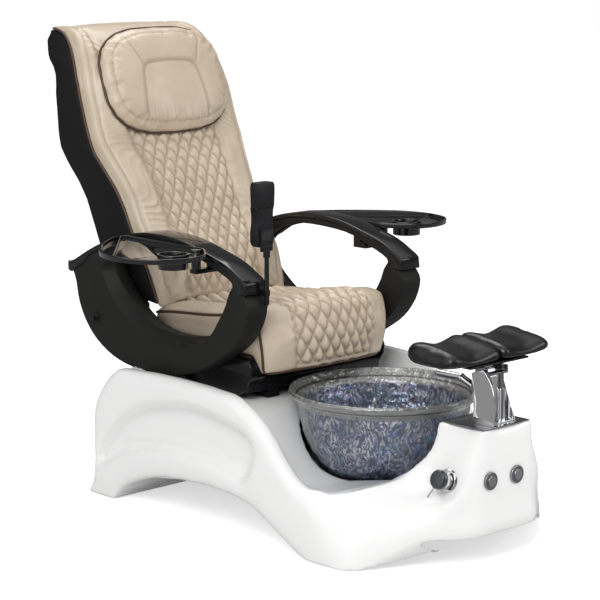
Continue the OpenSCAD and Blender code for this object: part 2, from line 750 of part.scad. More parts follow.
// Places across a cushion of half width w: its drawn-in edges, then the quilt's columns.
function stations(w) = let (e = w - quilt_n / 2 * diamond_w / 2)
    concat([-w, 3 - w, 14 - w, 0.45 * e - w],
        [for (i = [0 : quilt_n]) (i - quilt_n / 2) * diamond_w / 2],
        [w - 0.45 * e, w - 14, w - 3, w]);
function draw_in(k, n) = let (e = min(k, n - 1 - k)) e == 0 ? 12 : e == 1 ? 4 : e == 2 ? 0.5 : 0;

module seat_cushion() {
    xs = stations(seat_hw);
    n = len(xs);
    finish("tan") skin([for (k = [0 : n - 1]) let (
            r = seat_ring(xs[k] / seat_hw, draw_in(k, n)),
            q = k > 4 && k < n - 5 ? quilted(r, k, 6, seat_rows + 2, tuft) : r)
        [for (p = q) [xs[k] * seat_share(p[1]), p[0], p[1]]]],
        [for (x = [-seat_hw, seat_hw]) [x * seat_share(pan_z + 18), -112, pan_z + 18]]);
}

arm_top = smooth([[630, 694], [503, 759], [380, 803], [275, 825], [169, 828], [78, 820], [-7, 800],
    [-99, 774], [-174, 737]], 4);
arm_front = smooth([[-172, 698], [-196, 659], [-176, 595], [-128, 536], [-58, 488], [-1, 456],
    [50, 434], [130, 413], [219, 404], [332, 408], [425, 428], [502, 467], [553, 515], [588, 575],
    [602, 634], [612, 660]], 3);
arm_hole = smooth([[378, 762], [307, 784], [215, 794], [57, 785], [-40, 756], [-124, 722],
    [-110, 690], [-84, 633], [-18, 556], [69, 532], [161, 526], [253, 538], [325, 572], [397, 628],
    [448, 693], [430, 728], [378, 762]], 3);
cap_line = concat([[640, 700]], arm_top, [[-186, 728], [-190, 694], [-156, 694], [-156, 716]],
    [for (i = [len(arm_top) - 4 : -1 : 3]) arm_top[i] - [0, cap_t]], [[560, 700], [628, 664], [640, 670]]);

// The hole's outline on the arm's outer face, pushed out by up to t at its rear and bottom.
function flare(p, t) = let (n = len(p) - 1)
    [for (i = [0 : n - 1]) let (
            v = p[(i + 1) % n] - p[(i + n - 1) % n],
            k = min(1, max(0, (p[i][0] + 60) / 160)) * min(1, max(0, (735 - p[i][1]) / 60)))
        p[i] - left_of(unit(v)) * (1 + t * k)];

module arm() {
    finish([0.2, 0.19, 0.19]) difference() {
        along_x(arm_in, arm_out) polygon(concat(arm_top, arm_front));
        along_x(arm_in - 1, arm_out + 1) polygon(arm_hole);
        skin([for (k = [0, 1]) [for (q = reversed(flare(arm_hole, k * 30)))
            [arm_out - 34 + 36 * k, q[0], q[1]]]]);
        along_x(arm_in - 1, arm_out + 1) polygon(inset(cap_line, -GAP));
        rod_x(bolt_d + 1, arm_in - 1, arm_out + 1, arm_bolt);
    }
}

module arm_cap() {
    finish([0.05, 0.05, 0.05]) along_x(arm_in - 1, arm_out + cap_lip) polygon(cap_line);
}

module arm_left() arm();
module arm_right() mirror([1, 0, 0]) arm();
module arm_cap_left() arm_cap();
module arm_cap_right() mirror([1, 0, 0]) arm_cap();

module arm_bolts() {
    finish("black") both_sides() {
        rod_x(bolt_d, side_in - 2, arm_out + 1, arm_bolt);
        rod_x(30, arm_out + GAP, arm_out + 4, arm_bolt);
        translate([arm_out + 4, arm_bolt[0], arm_bolt[1]]) rotate([0, 90, 0])
            cylinder(d = 21, h = 11, $fn = 6);
    }
}

// ---- trays ---------------------------------------------------------------------------------

tray_line = smooth([[-tray_hub_r, 0], [-18, -16], [20, -66], [60, -104], [120, -112], [184, -92],
    [232, -46], [254, 26], [250, 96], [222, 166], [150, 250], [70, 318], [10, 348],
    [-20, 338]], 4);
cup_at = [94, -10];
tray_floor = tray_top - tray_rim;

module tray_bracket() {
    px = tray_pivot[0];
    finish("black") {
        block([arm_in + 14, -14, 740], [arm_in + 34, 34, 758]);
        intersection() {
            along_x(arm_in + 14, arm_in + 34) polygon(inset(arm_hole, GAP));
            block([arm_in + 14, 4, 750], [arm_in + 34, 34, 800]);
        }
        difference() {
            block([arm_in + 14, -19, 740], [px + 12, 9, 752]);
            translate([px, tray_pivot[1], 739]) cylinder(r = 3, h = 5);
        }
        translate([px, tray_pivot[1], 752]) cylinder(d = tray_pin_d, h = tray_floor - 752 - 2);
    }
}

module tray_brackets() both_sides() tray_bracket();

module tray() {
    finish([0.04, 0.04, 0.04]) translate([tray_pivot[0], tray_pivot[1], 0]) difference() {
        union() {
            translate([0, 0, tray_floor]) linear_extrude(tray_rim) polygon(tray_line);
            translate([cup_at[0], cup_at[1], tray_top - cup_h]) cylinder(d = cup_d + 6, h = cup_h - 3);
            translate([0, 0, 752 + GAP]) cylinder(r = 14, h = tray_floor - 751);
        }
        difference() {
            translate([0, 0, tray_floor + tray_t]) linear_extrude(tray_rim) polygon(inset(tray_line, 5));
            translate([118, 215, 0]) rotate(-48.3) block([-200, -2.5, 0], [200, 2.5, 900]);
            translate([cup_at[0], cup_at[1], 0]) cylinder(d = cup_d + 12, h = tray_top - 3);
            cylinder(r = 16, h = tray_top - 2);
        }
        translate([cup_at[0], cup_at[1], tray_top - cup_h + 3]) cylinder(d = cup_d, h = cup_h + 1);
        translate([0, 0, 750]) cylinder(d = tray_pin_d + 2 * RUN, h = tray_floor - 750 - 1);
    }
}

module tray_left() tray();
module tray_right() mirror([1, 0, 0]) tray();

// ---- remote --------------------------------------------------------------------------------

module remote_stalk() {
    finish([0.1, 0.1, 0.11]) {
        translate([stalk[0], -206, 668]) cylinder(d1 = 15, d2 = 13, h = 132);
        translate([stalk[0], -206, 668]) sphere(d = 15, $fn = 32);
        block([stalk[0] - 8, -212, 690], [stalk[0] + 8, -190.5, 706]);
    }
}

module remote_holder() {
    finish([0.08, 0.08, 0.09]) {
        translate([stalk[0], -206, 800 + GAP]) cylinder(d = 20, h = 20);
        block([stalk[0] - 22, -208, 818], [stalk[0] + 22, -202, 880]);
        for (x = [-15, 15]) for (z = [828, 846])
            translate([stalk[0] + x, -207, z]) rotate([90, 0, 0]) cylinder(d = 7, h = 3.5);
    }
}

handset = smooth([[24, 830], [33, 842], [34, 872], [30, 900], [31, 930], [34, 942]], 3);

module handset_half(p, y0, y1) {
    translate([stalk[0], 0, 0]) rotate([90, 0, 0]) translate([0, 0, -y1]) linear_extrude(y1 - y0)
        polygon(concat(p, [for (q = reversed(p)) [-q[0], q[1]]]));
}

module remote_handset() {
    finish([0.1, 0.1, 0.11]) {
        handset_half(handset, -202 + GAP, -172);
        handset_half([[31, 942], [33, 980], [33, 1004], [28, 1014]], -206, -172);
    }
}

module remote_keypad() {
    finish("gray") {
        translate([stalk[0], -171.7, 0]) {
            block([-22, 0, 958], [22, 1, 1000]);
            for (x = [-16, 0, 16]) for (z = [858, 874, 890, 906, 922, 938])
                translate([x, 0, z]) rotate([-90, 0, 0]) cylinder(d = 10, h = 2);
        }
    }
}

// ---- back ----------------------------------------------------------------------------------

// Edge line of the back: where the leather meets the shell, from the bottom to the top.
edge = smooth([[318, 590], [345, 640], [372, 690], [404, 735], [451, 807], [501, 908], [552, 985],
    [588, 1041], [614, 1098], [652, 1207], [697, 1303], [765, 1377], [843, 1398]], 3);
rear = smooth([[855, 1366], [826, 1318], [775, 1261], [757, 1151], [748, 1073], [722, 997],
    [683, 931], [650, 862], [616, 790], [575, 700], [530, 620], [478, 590]], 3);
face = even(edge, 30);              // rows up the front of the back
quilt_top = 14;                     // last quilted row, under the pillow
backing = [for (i = [0 : 2 : len(face) - 1]) face[i]];
back_outline = reversed(concat([for (p = backing) p + [GAP, 0]], rear, [[400, 600]]));

// Half width of the back at height z.
function back_hw(z) = waist_w + (shoulder_w - waist_w) * lookup(z,
    [[880, 0], [940, 0.3], [1040, 1], [1207, 0.92], [1307, 0.45], [1386, -0.38],
        [1420, -0.38]]);

// The back's front view, grown by g.
module back_view(g) {
    zs = [540, 880, 940, 1040, 1207, 1307, 1386, 1440];
    rotate([90, 0, 0]) translate([0, 0, -900]) linear_extrude(800)
        polygon(concat([for (z = zs) [back_hw(z) + g, z]], [for (z = reversed(zs)) [-back_hw(z) - g, z]]));
}

module back_shell() {
    finish([0.09, 0.09, 0.1]) difference() {
        intersection() {
            along_x(-shoulder_w - 5, shoulder_w + 5) polygon(back_outline);
            back_view(2);
        }
        intersection() {
            along_x(-shoulder_w, shoulder_w) polygon(inset(back_outline, back_t));
            back_view(2 - back_t);
        }
        massage_slot();
        along_x(12 - waist_w, waist_w - 12)
            polygon([[330, 560], [490, 560], [490, 612], [330, 612]]);
    }
}

// Places children on the back's inclined frame, whose foot is above the recline pivot.
module on_back(y = 0) {
    translate([0, pivot[0] + 6, pivot[1] + 50]) rotate([-recline_lean, 0, 0])
        translate([0, y, 0]) children();
}

track_in = 35;                      // how far the massage track lies behind the frame's legs
roller_at = [-30, 140];
rod_place = 70;
brace = roller_at[1] + massage_travel + (roller_d - 20) / 2 + 7;  // clears the raised rollers

// The window in the shell's front wall through which the massage carriage reaches the cushion.
module massage_slot() on_back() block([-110, -60, 40], [110, 40, 640]);

module back_frame() {
    finish("dimgray") {
        difference() {
            union() {
                both_sides() block([side_in - 30, pivot[0] - 22, pivot[1] - 22],
                    [side_in - 22, pivot[0] + 22, pivot[1] + 55]);
                both_sides() on_back() translate([side_in - 34, 0, 0]) cylinder(d = 24, h = brace + 22);
            }
            rod_x(pivot_d + 2 * RUN, -300, 300, pivot);
        }
        both_sides() intersection() {
            along_x(side_in - 40, side_in - 34) polygon(inset(back_outline, back_t + GAP));
            union() for (s = [100, 370]) on_back() block([side_in - 45, -90, s], [side_in - 30, 0, s + 55]);
        }
        for (s = [60, brace]) on_back() block([34 - side_in, -8, s], [side_in - 34, 8, s + 16]);
        for (s = [60, 500]) on_back() block([-rod_place - 10, -8, s], [rod_place + 10, track_in + 9, s + 16]);
        on_back() block([-10, -8, brace], [10, 8, 516]);
        for (x = [-18, 12]) along_x(x, x + 6) polygon([[drive_top[0] - 12, drive_top[1] - 12],
            [drive_top[0] + 12, drive_top[1] - 12], [470, 545], [pivot[0] + 52, 664],
            [pivot[0] + 20, 664], [420, 545]]);
        rod_x(10, -18, 18, drive_top);
        for (x = [-rod_place, rod_place]) on_back(track_in) translate([x, 0, 68])
            cylinder(d = 12, h = 440);
    }
}

module massage_carriage() {
    finish("slategray") on_back(track_in) difference() {
        union() {
            block([-88, -16, 90], [88, 30, 190]);
            for (x = [-64, 52]) block([x, -40, 128], [x + 12, -16, 152]);
        }
        for (x = [-rod_place, rod_place]) translate([x, 0, 80]) cylinder(d = 12 + 2 * RUN, h = 130);
        rod_x(10 + 2 * RUN, -100, 100, roller_at);
    }
}

module massage_rollers() {
    finish("ivory") on_back(track_in) {
        rod_x(10, -95, 95, roller_at);
        for (x = [-106, 89]) rod_x(roller_d - 20, x, x + 17, roller_at);
    }
}

// Loop round the back cushion: up its front face, over the roll and down its rear.
function back_ring(d) = let (
        n = len(face) - 1,
        front = [for (i = [0 : n]) let (
                v = unit(face[min(i + 1, n)] - face[max(i - 1, 0)]),
                out = 50 * min(1, 0.35 + i / 6) * min(1, 0.3 + (n - i) / 5))
            face[i] + (out - d) * left_of(v)])
    concat(front, reversed(backing));

module back_cushion() {
    xs = stations(waist_w);
    n = len(xs);
    rows = [for (p = concat(face, reversed(backing))) back_hw(p[1])];
    end = len(face) + len(backing) - 1;
    finish("tan") skin([for (k = [0 : n - 1]) let (
            r = back_ring(draw_in(k, n)),
            q = k > 4 && k < n - 5 ? quilted(r, k, 2, quilt_top, tuft) : r)
        [for (j = [0 : len(q) - 1]) [xs[k] * rows[j] / waist_w, q[j][0], q[j][1]]]],
        cap = [for (j = [0 : len(backing) - 2]) for (t = [[2 * j, 2 * j + 1, end - j],
            [2 * j + 1, 2 * j + 2, end - j - 1], [2 * j + 1, end - j - 1, end - j]]) t]);
}

// The pillow's profile: distance in from its outline, and thickness.
pillow_edge = [[0.5, 0], [0.93, 0], [0.99, 8], [1, 22], [0.97, 36], [0.9, 47], [0.76, 55],
    [0.58, 60], [0.35, 62], [0.12, 62]];

// The head pillow: a crowned, rounded pad that lies on the cushion's upper face.
module head_pillow() {
    finish("tan") translate([0, 608.3, 1236]) rotate([-20, 0, 0]) mirror([0, 1, 0])
        skin([for (e = pillow_edge) [for (a = [0 : 15 : 345]) [
            e[0] * (waist_w - 17) * sign(cos(a)) * pow(abs(cos(a)), 0.68), e[1],
            e[0] * 176 * sign(sin(a)) * pow(abs(sin(a)), 0.68)]]]);
}

// ---- recline drive -------------------------------------------------------------------------

module along_drive() {
    translate([0, drive_base[0], drive_base[1]]) rotate([drive_turn, 0, 0]) children();
}

module recline_tube() {
    finish("gray") along_drive() difference() {
        union() {
            rod_x(24, -8.5, 8.5, [0, 0]);
            block([-7, 0, -9], [7, 40, 9]);
            translate([0, 38, 0]) rotate([-90, 0, 0]) cylinder(d = 28, h = drive_len - 150);
            translate([0, 70, -5]) rotate([0, 0, 0]) block([-40, -24, -12], [-12, 40, 16]);
        }
        rod_x(drive_pin + 2 * RUN, -20, 20, [0, 0]);
        translate([0, 60, 0]) rotate([-90, 0, 0]) cylinder(d = 16 + 2 * RUN, h = drive_len);
    }
}

module recline_rod() {
    finish("silver") along_drive() difference() {
        union() {
            translate([0, 130, 0]) rotate([-90, 0, 0]) cylinder(d = 16, h = drive_len - 142);
            rod_x(26, -8, 8, [drive_len, 0]);
        }
        rod_x(18, -20, 20, [drive_len, 0]);
    }
}

base_shell();
base_frame();
levelling_feet();
rear_panel();
panel_screws();
foot_bowl();
bowl_gasket();
drain_strainer();
drain_pipe();
pump_housing();
pump_impeller();
pump_hoses();
supply_hoses();
water_inlets();
control_box();
power_inlet();
console_plate();
footrest_column();
spout();
valve_flange();
valve_knob();
valve_lever();
button_bezels();
button_right();
button_left();
button_side();
slide_rails();
slide_tube();
footrest_slider();
footrest_bracket();
footrest_pad_right();
footrest_pad_left();
seat_frame();
seat_rails();
slide_rod();
seat_pan();
seat_cushion();
arm_right();
arm_left();
arm_cap_right();
arm_cap_left();
arm_bolts();
tray_brackets();
tray_right();
tray_left();
remote_stalk();
remote_holder();
remote_handset();
remote_keypad();
back_frame();
back_shell();
back_cushion();
head_pillow();
massage_carriage();
massage_rollers();
recline_tube();
recline_rod();
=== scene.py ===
import json
import math

import bpy
import numpy as np
from bpy.props import FloatProperty, FloatVectorProperty, PointerProperty
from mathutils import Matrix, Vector, kdtree

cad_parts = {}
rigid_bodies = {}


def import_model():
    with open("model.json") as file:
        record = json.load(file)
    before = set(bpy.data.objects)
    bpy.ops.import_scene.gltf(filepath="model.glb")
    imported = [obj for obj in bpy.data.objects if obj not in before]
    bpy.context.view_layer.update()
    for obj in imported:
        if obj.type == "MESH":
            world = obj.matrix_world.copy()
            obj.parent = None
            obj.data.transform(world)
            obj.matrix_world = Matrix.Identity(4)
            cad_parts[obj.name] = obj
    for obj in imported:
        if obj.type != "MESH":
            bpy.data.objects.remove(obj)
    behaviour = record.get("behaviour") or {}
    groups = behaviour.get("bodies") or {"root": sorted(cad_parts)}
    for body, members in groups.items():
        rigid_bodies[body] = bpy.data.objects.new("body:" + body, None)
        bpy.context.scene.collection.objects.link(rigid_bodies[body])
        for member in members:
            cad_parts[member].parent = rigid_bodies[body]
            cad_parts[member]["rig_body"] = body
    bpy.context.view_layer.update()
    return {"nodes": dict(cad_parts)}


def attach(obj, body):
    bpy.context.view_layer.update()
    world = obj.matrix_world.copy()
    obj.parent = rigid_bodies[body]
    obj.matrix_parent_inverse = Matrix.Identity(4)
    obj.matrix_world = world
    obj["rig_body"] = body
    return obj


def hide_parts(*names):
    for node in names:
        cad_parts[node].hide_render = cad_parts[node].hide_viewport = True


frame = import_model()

bl_info = {
    "name": "Pedicure Spa Chair",
    "version": (1, 0, 0),
    "blender": (4, 5, 0),
    "location": "View3D > Sidebar > Spa Chair",
    "description": "Dresses the frame of a pedicure spa chair with its moulding, bowl and leather",
    "category": "Object",
}

nodes = frame["nodes"]
ORIGIN_Y = 0.008  # the frame's drawing is moved by this much along Y


# ---- Node groups and materials --------------------------------------------------------------


def new_group(name, inputs, outputs):
    """An empty node group with its sockets: inputs are (name, type, default)."""
    group = bpy.data.node_groups.new(name, "ShaderNodeTree")
    for socket, kind, default in inputs:
        s = group.interface.new_socket(name=socket, in_out="INPUT", socket_type=kind)
        if default is not None:
            s.default_value = default
    for socket, kind in outputs:
        group.interface.new_socket(name=socket, in_out="OUTPUT", socket_type=kind)
    start = group.nodes.new("NodeGroupInput")
    end = group.nodes.new("NodeGroupOutput")
    return group, start, end


class Tree:
    """A short way to add and join the nodes of one material or group."""

    def __init__(self, tree):
        self.tree = tree

    def add(self, kind, links=None, **values):
        n = self.tree.nodes.new(kind)
        for key, value in values.items():
            setattr(n, key, value)
        for socket, value in (links or {}).items():
            if isinstance(value, bpy.types.NodeSocket):
                self.tree.links.new(value, n.inputs[socket])
            else:
                n.inputs[socket].default_value = value
        return n

    def place(self):
        return self.add("ShaderNodeTexCoord").outputs["Object"]

    def math(self, operation, a, b=0.0):
        return self.add("ShaderNodeMath", {0: a, 1: b}, operation=operation).outputs[0]

    def span(self, value, low, high, start=0.0, end=1.0):
        """The value, carried from low..high to start..end."""
        return self.add("ShaderNodeMapRange", {0: value, 1: low, 2: high, 3: start, 4: end}).outputs[0]

    def noise(self, at, scale, detail, distortion=0.0):
        sockets = {"Vector": at, "Scale": scale, "Detail": detail, "Distortion": distortion}
        return self.add("ShaderNodeTexNoise", sockets).outputs[0]

    def ramp(self, fac, stops):
        n = self.add("ShaderNodeValToRGB", {0: fac})
        e = n.color_ramp.elements
        while len(e) < len(stops):
            e.new(0.5)
        for element, (at, colour) in zip(e, stops):
            element.position = at
            element.color = colour if len(colour) == 4 else (*colour, 1)
        return n.outputs[0]

    def mix(self, fac, a, b, blend="MIX"):
        n = self.add("ShaderNodeMix", data_type="RGBA", blend_type=blend)
        for i, v in ((0, fac), (6, a), (7, b)):
            if isinstance(v, bpy.types.NodeSocket):
                self.tree.links.new(v, n.inputs[i])
            else:
                n.inputs[i].default_value = v if i == 0 else (*v[:3], 1)
        return n.outputs[2]


def grain_group():
    """Leather grain: fine cells and folds as a height, and a slow mottle."""
    group, start, end = new_group(
        "Leather grain",
        [("Scale", "NodeSocketFloat", 1.0), ("Folds", "NodeSocketFloat", 0.4)],
        [("Height", "NodeSocketFloat"), ("Mottle", "NodeSocketFloat")],
    )
    t = Tree(group)
    at = t.place()
    size = start.outputs["Scale"]
    cells = t.add(
        "ShaderNodeTexVoronoi",
        {"Vector": at, "Scale": t.math("MULTIPLY", size, 620.0)},
        feature="DISTANCE_TO_EDGE",
    )
    cell = t.math("SMOOTH_MIN", t.math("MULTIPLY", cells.outputs[0], 3.0), 0.6)
    folds = t.noise(at, t.math("MULTIPLY", size, 34.0), 5.0, 1.2)
    fold = t.math("MULTIPLY", folds, start.outputs["Folds"])
    group.links.new(t.math("ADD", t.math("MULTIPLY", cell, 0.35), fold), end.inputs["Height"])
    group.links.new(t.noise(at, 9.0, 3.0), end.inputs["Mottle"])
    return group


def mould_group():
    """Moulded plastic: a fine spark-eroded texture and slow waviness, as heights."""
    group, start, end = new_group(
        "Moulded skin",
        [("Scale", "NodeSocketFloat", 900.0), ("Wave", "NodeSocketFloat", 0.2)],
        [("Height", "NodeSocketFloat"), ("Patch", "NodeSocketFloat")],
    )
    t = Tree(group)
    at = t.place()
    fine = t.noise(at, start.outputs["Scale"], 3.0)
    wave = t.noise(at, 11.0, 2.0)
    slow = t.math("MULTIPLY", wave, start.outputs["Wave"])
    group.links.new(t.math("ADD", fine, slow), end.inputs["Height"])
    group.links.new(wave, end.inputs["Patch"])
    return group


def smudge_group():
    """Handling marks on polished surfaces, as a change of roughness."""
    group, start, end = new_group(
        "Smudges",
        [("Clean", "NodeSocketFloat", 0.1), ("Marked", "NodeSocketFloat", 0.25)],
        [("Roughness", "NodeSocketFloat"), ("Height", "NodeSocketFloat")],
    )
    t = Tree(group)
    at = t.place()
    marks = t.noise(at, 14.0, 6.0)
    rough = t.span(marks, 0.42, 0.72, start.outputs["Clean"], start.outputs["Marked"])
    group.links.new(rough, end.inputs["Roughness"])
    group.links.new(t.noise(at, 260.0, 2.0), end.inputs["Height"])
    return group


def hammer_group():
    """Hammered glass: dimples as a height, fine glints as a mask, and slow patches of tint."""
    group, start, end = new_group(
        "Hammered glass",
        [("Scale", "NodeSocketFloat", 34.0)],
        [("Height", "NodeSocketFloat"), ("Glint", "NodeSocketFloat"), ("Tint", "NodeSocketFloat")],
    )
    t = Tree(group)
    at = t.place()
    flow = t.add("ShaderNodeTexNoise", {"Vector": at, "Scale": 12.0, "Detail": 2.0})
    bend = t.add("ShaderNodeVectorMath", {0: flow.outputs["Color"], 3: 0.05}, operation="SCALE")
    bent = t.add("ShaderNodeVectorMath", {0: at, 1: bend.outputs[0]}, operation="ADD").outputs[0]
    cells = t.add(
        "ShaderNodeTexVoronoi",
        {"Vector": bent, "Scale": start.outputs["Scale"], "Smoothness": 0.5},
        feature="SMOOTH_F1",
    )
    tall = t.add("ShaderNodeMapping", {"Vector": bent, "Scale": (1.0, 1.0, 0.6)}).outputs[0]
    ripple = t.noise(tall, 74.0, 4.0, 1.6)
    height = t.math("ADD", cells.outputs[0], t.math("MULTIPLY", ripple, 0.55))
    glint = t.span(ripple, 0.44, 0.66)
    lit = t.span(t.noise(at, 9.0, 2.0), 0.40, 0.58, 0.45)
    group.links.new(height, end.inputs["Height"])
    group.links.new(t.math("MULTIPLY", glint, lit), end.inputs["Glint"])
    group.links.new(t.noise(at, 13.0, 4.0, 0.8), end.inputs["Tint"])
    return group


def new_material(name):
    mat = bpy.data.materials.new(name)
    mat.use_nodes = True
    shader = mat.node_tree.nodes["Principled BSDF"]
    return mat, Tree(mat.node_tree), shader


def set_inputs(shader, values):
    for name, value in values.items():
        shader.inputs[name].default_value = value


def bump(t, shader, height, strength, distance):
    n = t.add("ShaderNodeBump", {"Height": height, "Strength": strength, "Distance": distance})
    t.tree.links.new(n.outputs[0], shader.inputs["Normal"])


def place_group(t, group, **values):
    n = t.add("ShaderNodeGroup", node_tree=group)
    for key, value in values.items():
        n.inputs[key].default_value = value
    return n


def leather(name, colour, dark, grain, rough=0.34, folds=0.4, seams=True, bumpy=0.35):
    """Upholstery leather: grain, mottle, painted shade in the sewn creases, and thread."""
    mat, t, shader = new_material(name)
    g = place_group(t, grain, Scale=1.0, Folds=folds)
    mottle = g.outputs["Mottle"]
    base = t.mix(t.span(mottle, 0.3, 0.7, 0.0, 0.35), colour, dark)
    if seams:
        # Painted shade: with seams on, the mesh's crease mask darkens the leather towards the dark
        # colour in sewn creases and quilt valleys.
        crease_shade = t.add("ShaderNodeAttribute", attribute_name="crease_shade").outputs["Fac"]
        base = t.mix(t.math("MULTIPLY", crease_shade, 0.5), base, dark, blend="MULTIPLY")
    t.tree.links.new(base, shader.inputs["Base Color"])
    worn = t.span(mottle, 0.3, 0.7, rough - 0.06, rough + 0.08)
    t.tree.links.new(worn, shader.inputs["Roughness"])
    set_inputs(shader, {"Specular IOR Level": 0.5})
    bump(t, shader, g.outputs["Height"], bumpy, 0.0006)
    return mat


def plastic(name, colour, mould, scale, strength, rough, wave, spec, coat):
    mat, t, shader = new_material(name)
    g = place_group(t, mould, Scale=scale, Wave=wave)
    patch = g.outputs["Patch"]
    lighter = tuple(min(1.0, c * 1.25 + 0.004) for c in colour)
    base = t.mix(t.span(patch, 0.3, 0.7, 0.0, 0.25), colour, lighter)
    t.tree.links.new(base, shader.inputs["Base Color"])
    t.tree.links.new(t.span(patch, 0.3, 0.7, rough, rough * 1.25), shader.inputs["Roughness"])
    set_inputs(shader, {"Specular IOR Level": spec, "Coat Weight": coat, "Coat Roughness": 0.04})
    bump(t, shader, g.outputs["Height"], strength, 0.0003)
    return mat


def metal(name, colour, smudge, clean, marked, strength=0.02, stretch=None):
    mat, t, shader = new_material(name)
    g = place_group(t, smudge, Clean=clean, Marked=marked)
    set_inputs(shader, {"Metallic": 1.0})
    darker = tuple(c * 0.8 for c in colour)
    base = t.mix(t.span(g.outputs["Height"], 0.3, 0.7, 0.0, 0.2), colour, darker)
    t.tree.links.new(base, shader.inputs["Base Color"])
    t.tree.links.new(g.outputs["Roughness"], shader.inputs["Roughness"])
    if stretch:
        at = t.place()
        line = t.add("ShaderNodeMapping", {"Vector": at, "Scale": stretch}).outputs[0]
        bump(t, shader, t.noise(line, 1.0, 3.0), 0.2, 0.0002)
    else:
        bump(t, shader, g.outputs["Height"], strength, 0.0004)
    return mat


def gelcoat(name, colour, mould):
    """Glossy white moulding resin with a soft waviness."""
    mat, t, shader = new_material(name)
    g = place_group(t, mould, Scale=60.0, Wave=1.5)
    patch = g.outputs["Patch"]
    darker = tuple(c * 0.97 for c in colour)
    base = t.mix(t.span(patch, 0.1, 0.9, 0.0, 0.1), colour, darker)
    t.tree.links.new(base, shader.inputs["Base Color"])
    t.tree.links.new(t.span(patch, 0.1, 0.9, 0.22, 0.26), shader.inputs["Roughness"])
    set_inputs(shader, {"Coat Weight": 0.35, "Coat Roughness": 0.06})
    bump(t, shader, g.outputs["Height"], 0.03, 0.0006)
    return mat


def bowl_glass(hammer):
    """Tinted hammered glass with a metallic, iridescent inner coating; its colour holds painted shade
    towards the outline and low down, and painted glints.
    """
    mat, t, shader = new_material("Hammered glass")
    g = place_group(t, hammer, Scale=48.0)
    # The coating's iridescent colours with near-white, shown as painted glints where the glint mask is
    # high.
    coating_and_glint_colour = t.ramp(
        g.outputs["Tint"],
        [
            (0.30, (0.16, 0.26, 0.78)),
            (0.42, (0.74, 0.80, 0.90)),
            (0.50, (0.92, 0.92, 0.98)),
            (0.56, (0.56, 0.46, 0.86)),
            (0.62, (0.28, 0.62, 0.70)),
            (0.72, (0.86, 0.86, 0.94)),
        ],
    )
    high = t.add("ShaderNodeSeparateXYZ", {0: t.place()}).outputs[2]
    rim = t.span(high, 0.363, 0.371)
    low = t.span(high, 0.34, 0.20, 0.0, 0.7)
    # Painted shade: the dark glass grows darker towards the bowl's outline as the camera sees it.
    edge = t.add("ShaderNodeLayerWeight", {"Blend": 0.35}).outputs["Facing"]
    slate_edge_shade = t.mix(edge, (0.15, 0.17, 0.22), (0.022, 0.027, 0.036))
    facing = t.math("SUBTRACT", 1.0, t.math("MULTIPLY", edge, 0.7))
    # Painted glints: the colours show through the dark glass where the glint mask is high, fewer towards
    # the outline.
    deep = t.mix(t.math("MULTIPLY", g.outputs["Glint"], facing), slate_edge_shade, coating_and_glint_colour)
    # Painted shade: darker and bluer towards the bottom of the bowl, as low rises.
    crest = t.mix(low, deep, (0.45, 0.48, 0.6), blend="MULTIPLY")
    # The rim band's grey glass; its near-black stops are painted dark lines along the clear rim's edges.
    band = t.ramp(
        t.span(high, 0.363, 0.411),
        [
            (0.0, (0.05, 0.05, 0.06)),
            (0.16, (0.30, 0.31, 0.32)),
            (0.42, (0.36, 0.36, 0.35)),
            (0.50, (0.03, 0.03, 0.035)),
            (0.58, (0.34, 0.34, 0.33)),
            (1.0, (0.30, 0.31, 0.31)),
        ],
    )
    t.tree.links.new(t.mix(rim, crest, band), shader.inputs["Base Color"])
    set_inputs(shader, {
        "Metallic": 0.4,
        "Transmission Weight": 0.22,
        "IOR": 1.48,
        "Roughness": 0.08,
        "Coat Weight": 0.6,
        "Coat Roughness": 0.03,
    })
    bump(t, shader, g.outputs["Height"], 0.85, 0.006)
    return mat


def braid():
    mat, t, shader = new_material("Braided steel")
    wave = t.add("ShaderNodeTexChecker", {"Vector": t.place(), "Scale": 420.0}).outputs["Fac"]
    base = t.mix(wave, (0.62, 0.62, 0.62), (0.36, 0.36, 0.37))
    t.tree.links.new(base, shader.inputs["Base Color"])
    set_inputs(shader, {"Metallic": 0.9, "Roughness": 0.35})
    bump(t, shader, wave, 0.4, 0.0005)
    return mat


# Key: name, colour, grain scale, bump, roughness, waviness, specular and coat.
PLASTICS = {
    "textured": ("Textured black plastic", (0.0135, 0.0128, 0.0122), 900.0, 0.55, 0.5, 0.2, 0.2, 0.0),
    "shell": ("Back shell plastic", (0.007, 0.0068, 0.0072), 1200.0, 0.25, 0.45, 0.2, 0.18, 0.0),
    "gloss": ("Gloss black plastic", (0.005, 0.005, 0.006), 60.0, 0.02, 0.12, 1.0, 0.35, 0.25),
    "mirror": ("Polished black plastic", (0.006, 0.006, 0.007), 40.0, 0.01, 0.05, 0.4, 0.5, 0.6),
    "remote": ("Handset plastic", (0.008, 0.008, 0.0095), 1100.0, 0.2, 0.34, 0.2, 0.28, 0.0),
    "keys": ("Key rubber", (0.16, 0.16, 0.17), 800.0, 0.3, 0.55, 0.2, 0.5, 0.0),
    "rubber": ("Black rubber", (0.02, 0.02, 0.02), 600.0, 0.4, 0.75, 0.2, 0.5, 0.0),
    "white_plastic": ("White plastic", (0.75, 0.75, 0.73), 500.0, 0.15, 0.4, 0.2, 0.5, 0.0),
    "grey_plastic": ("Grey plastic", (0.12, 0.125, 0.13), 500.0, 0.3, 0.5, 0.2, 0.5, 0.0),
    "knob": ("Smoked knob", (0.035, 0.04, 0.045), 60.0, 0.03, 0.16, 0.6, 0.5, 0.5),
    "frame": ("Black gloss paint", (0.006, 0.006, 0.007), 300.0, 0.12, 0.2, 0.5, 0.3, 0.25),
    "chassis": ("Grey chassis paint", (0.08, 0.08, 0.085), 300.0, 0.12, 0.45, 0.5, 0.3, 0.2),
    "pump": ("Pump enamel", (0.03, 0.06, 0.07), 300.0, 0.12, 0.35, 0.5, 0.3, 0.2),
}
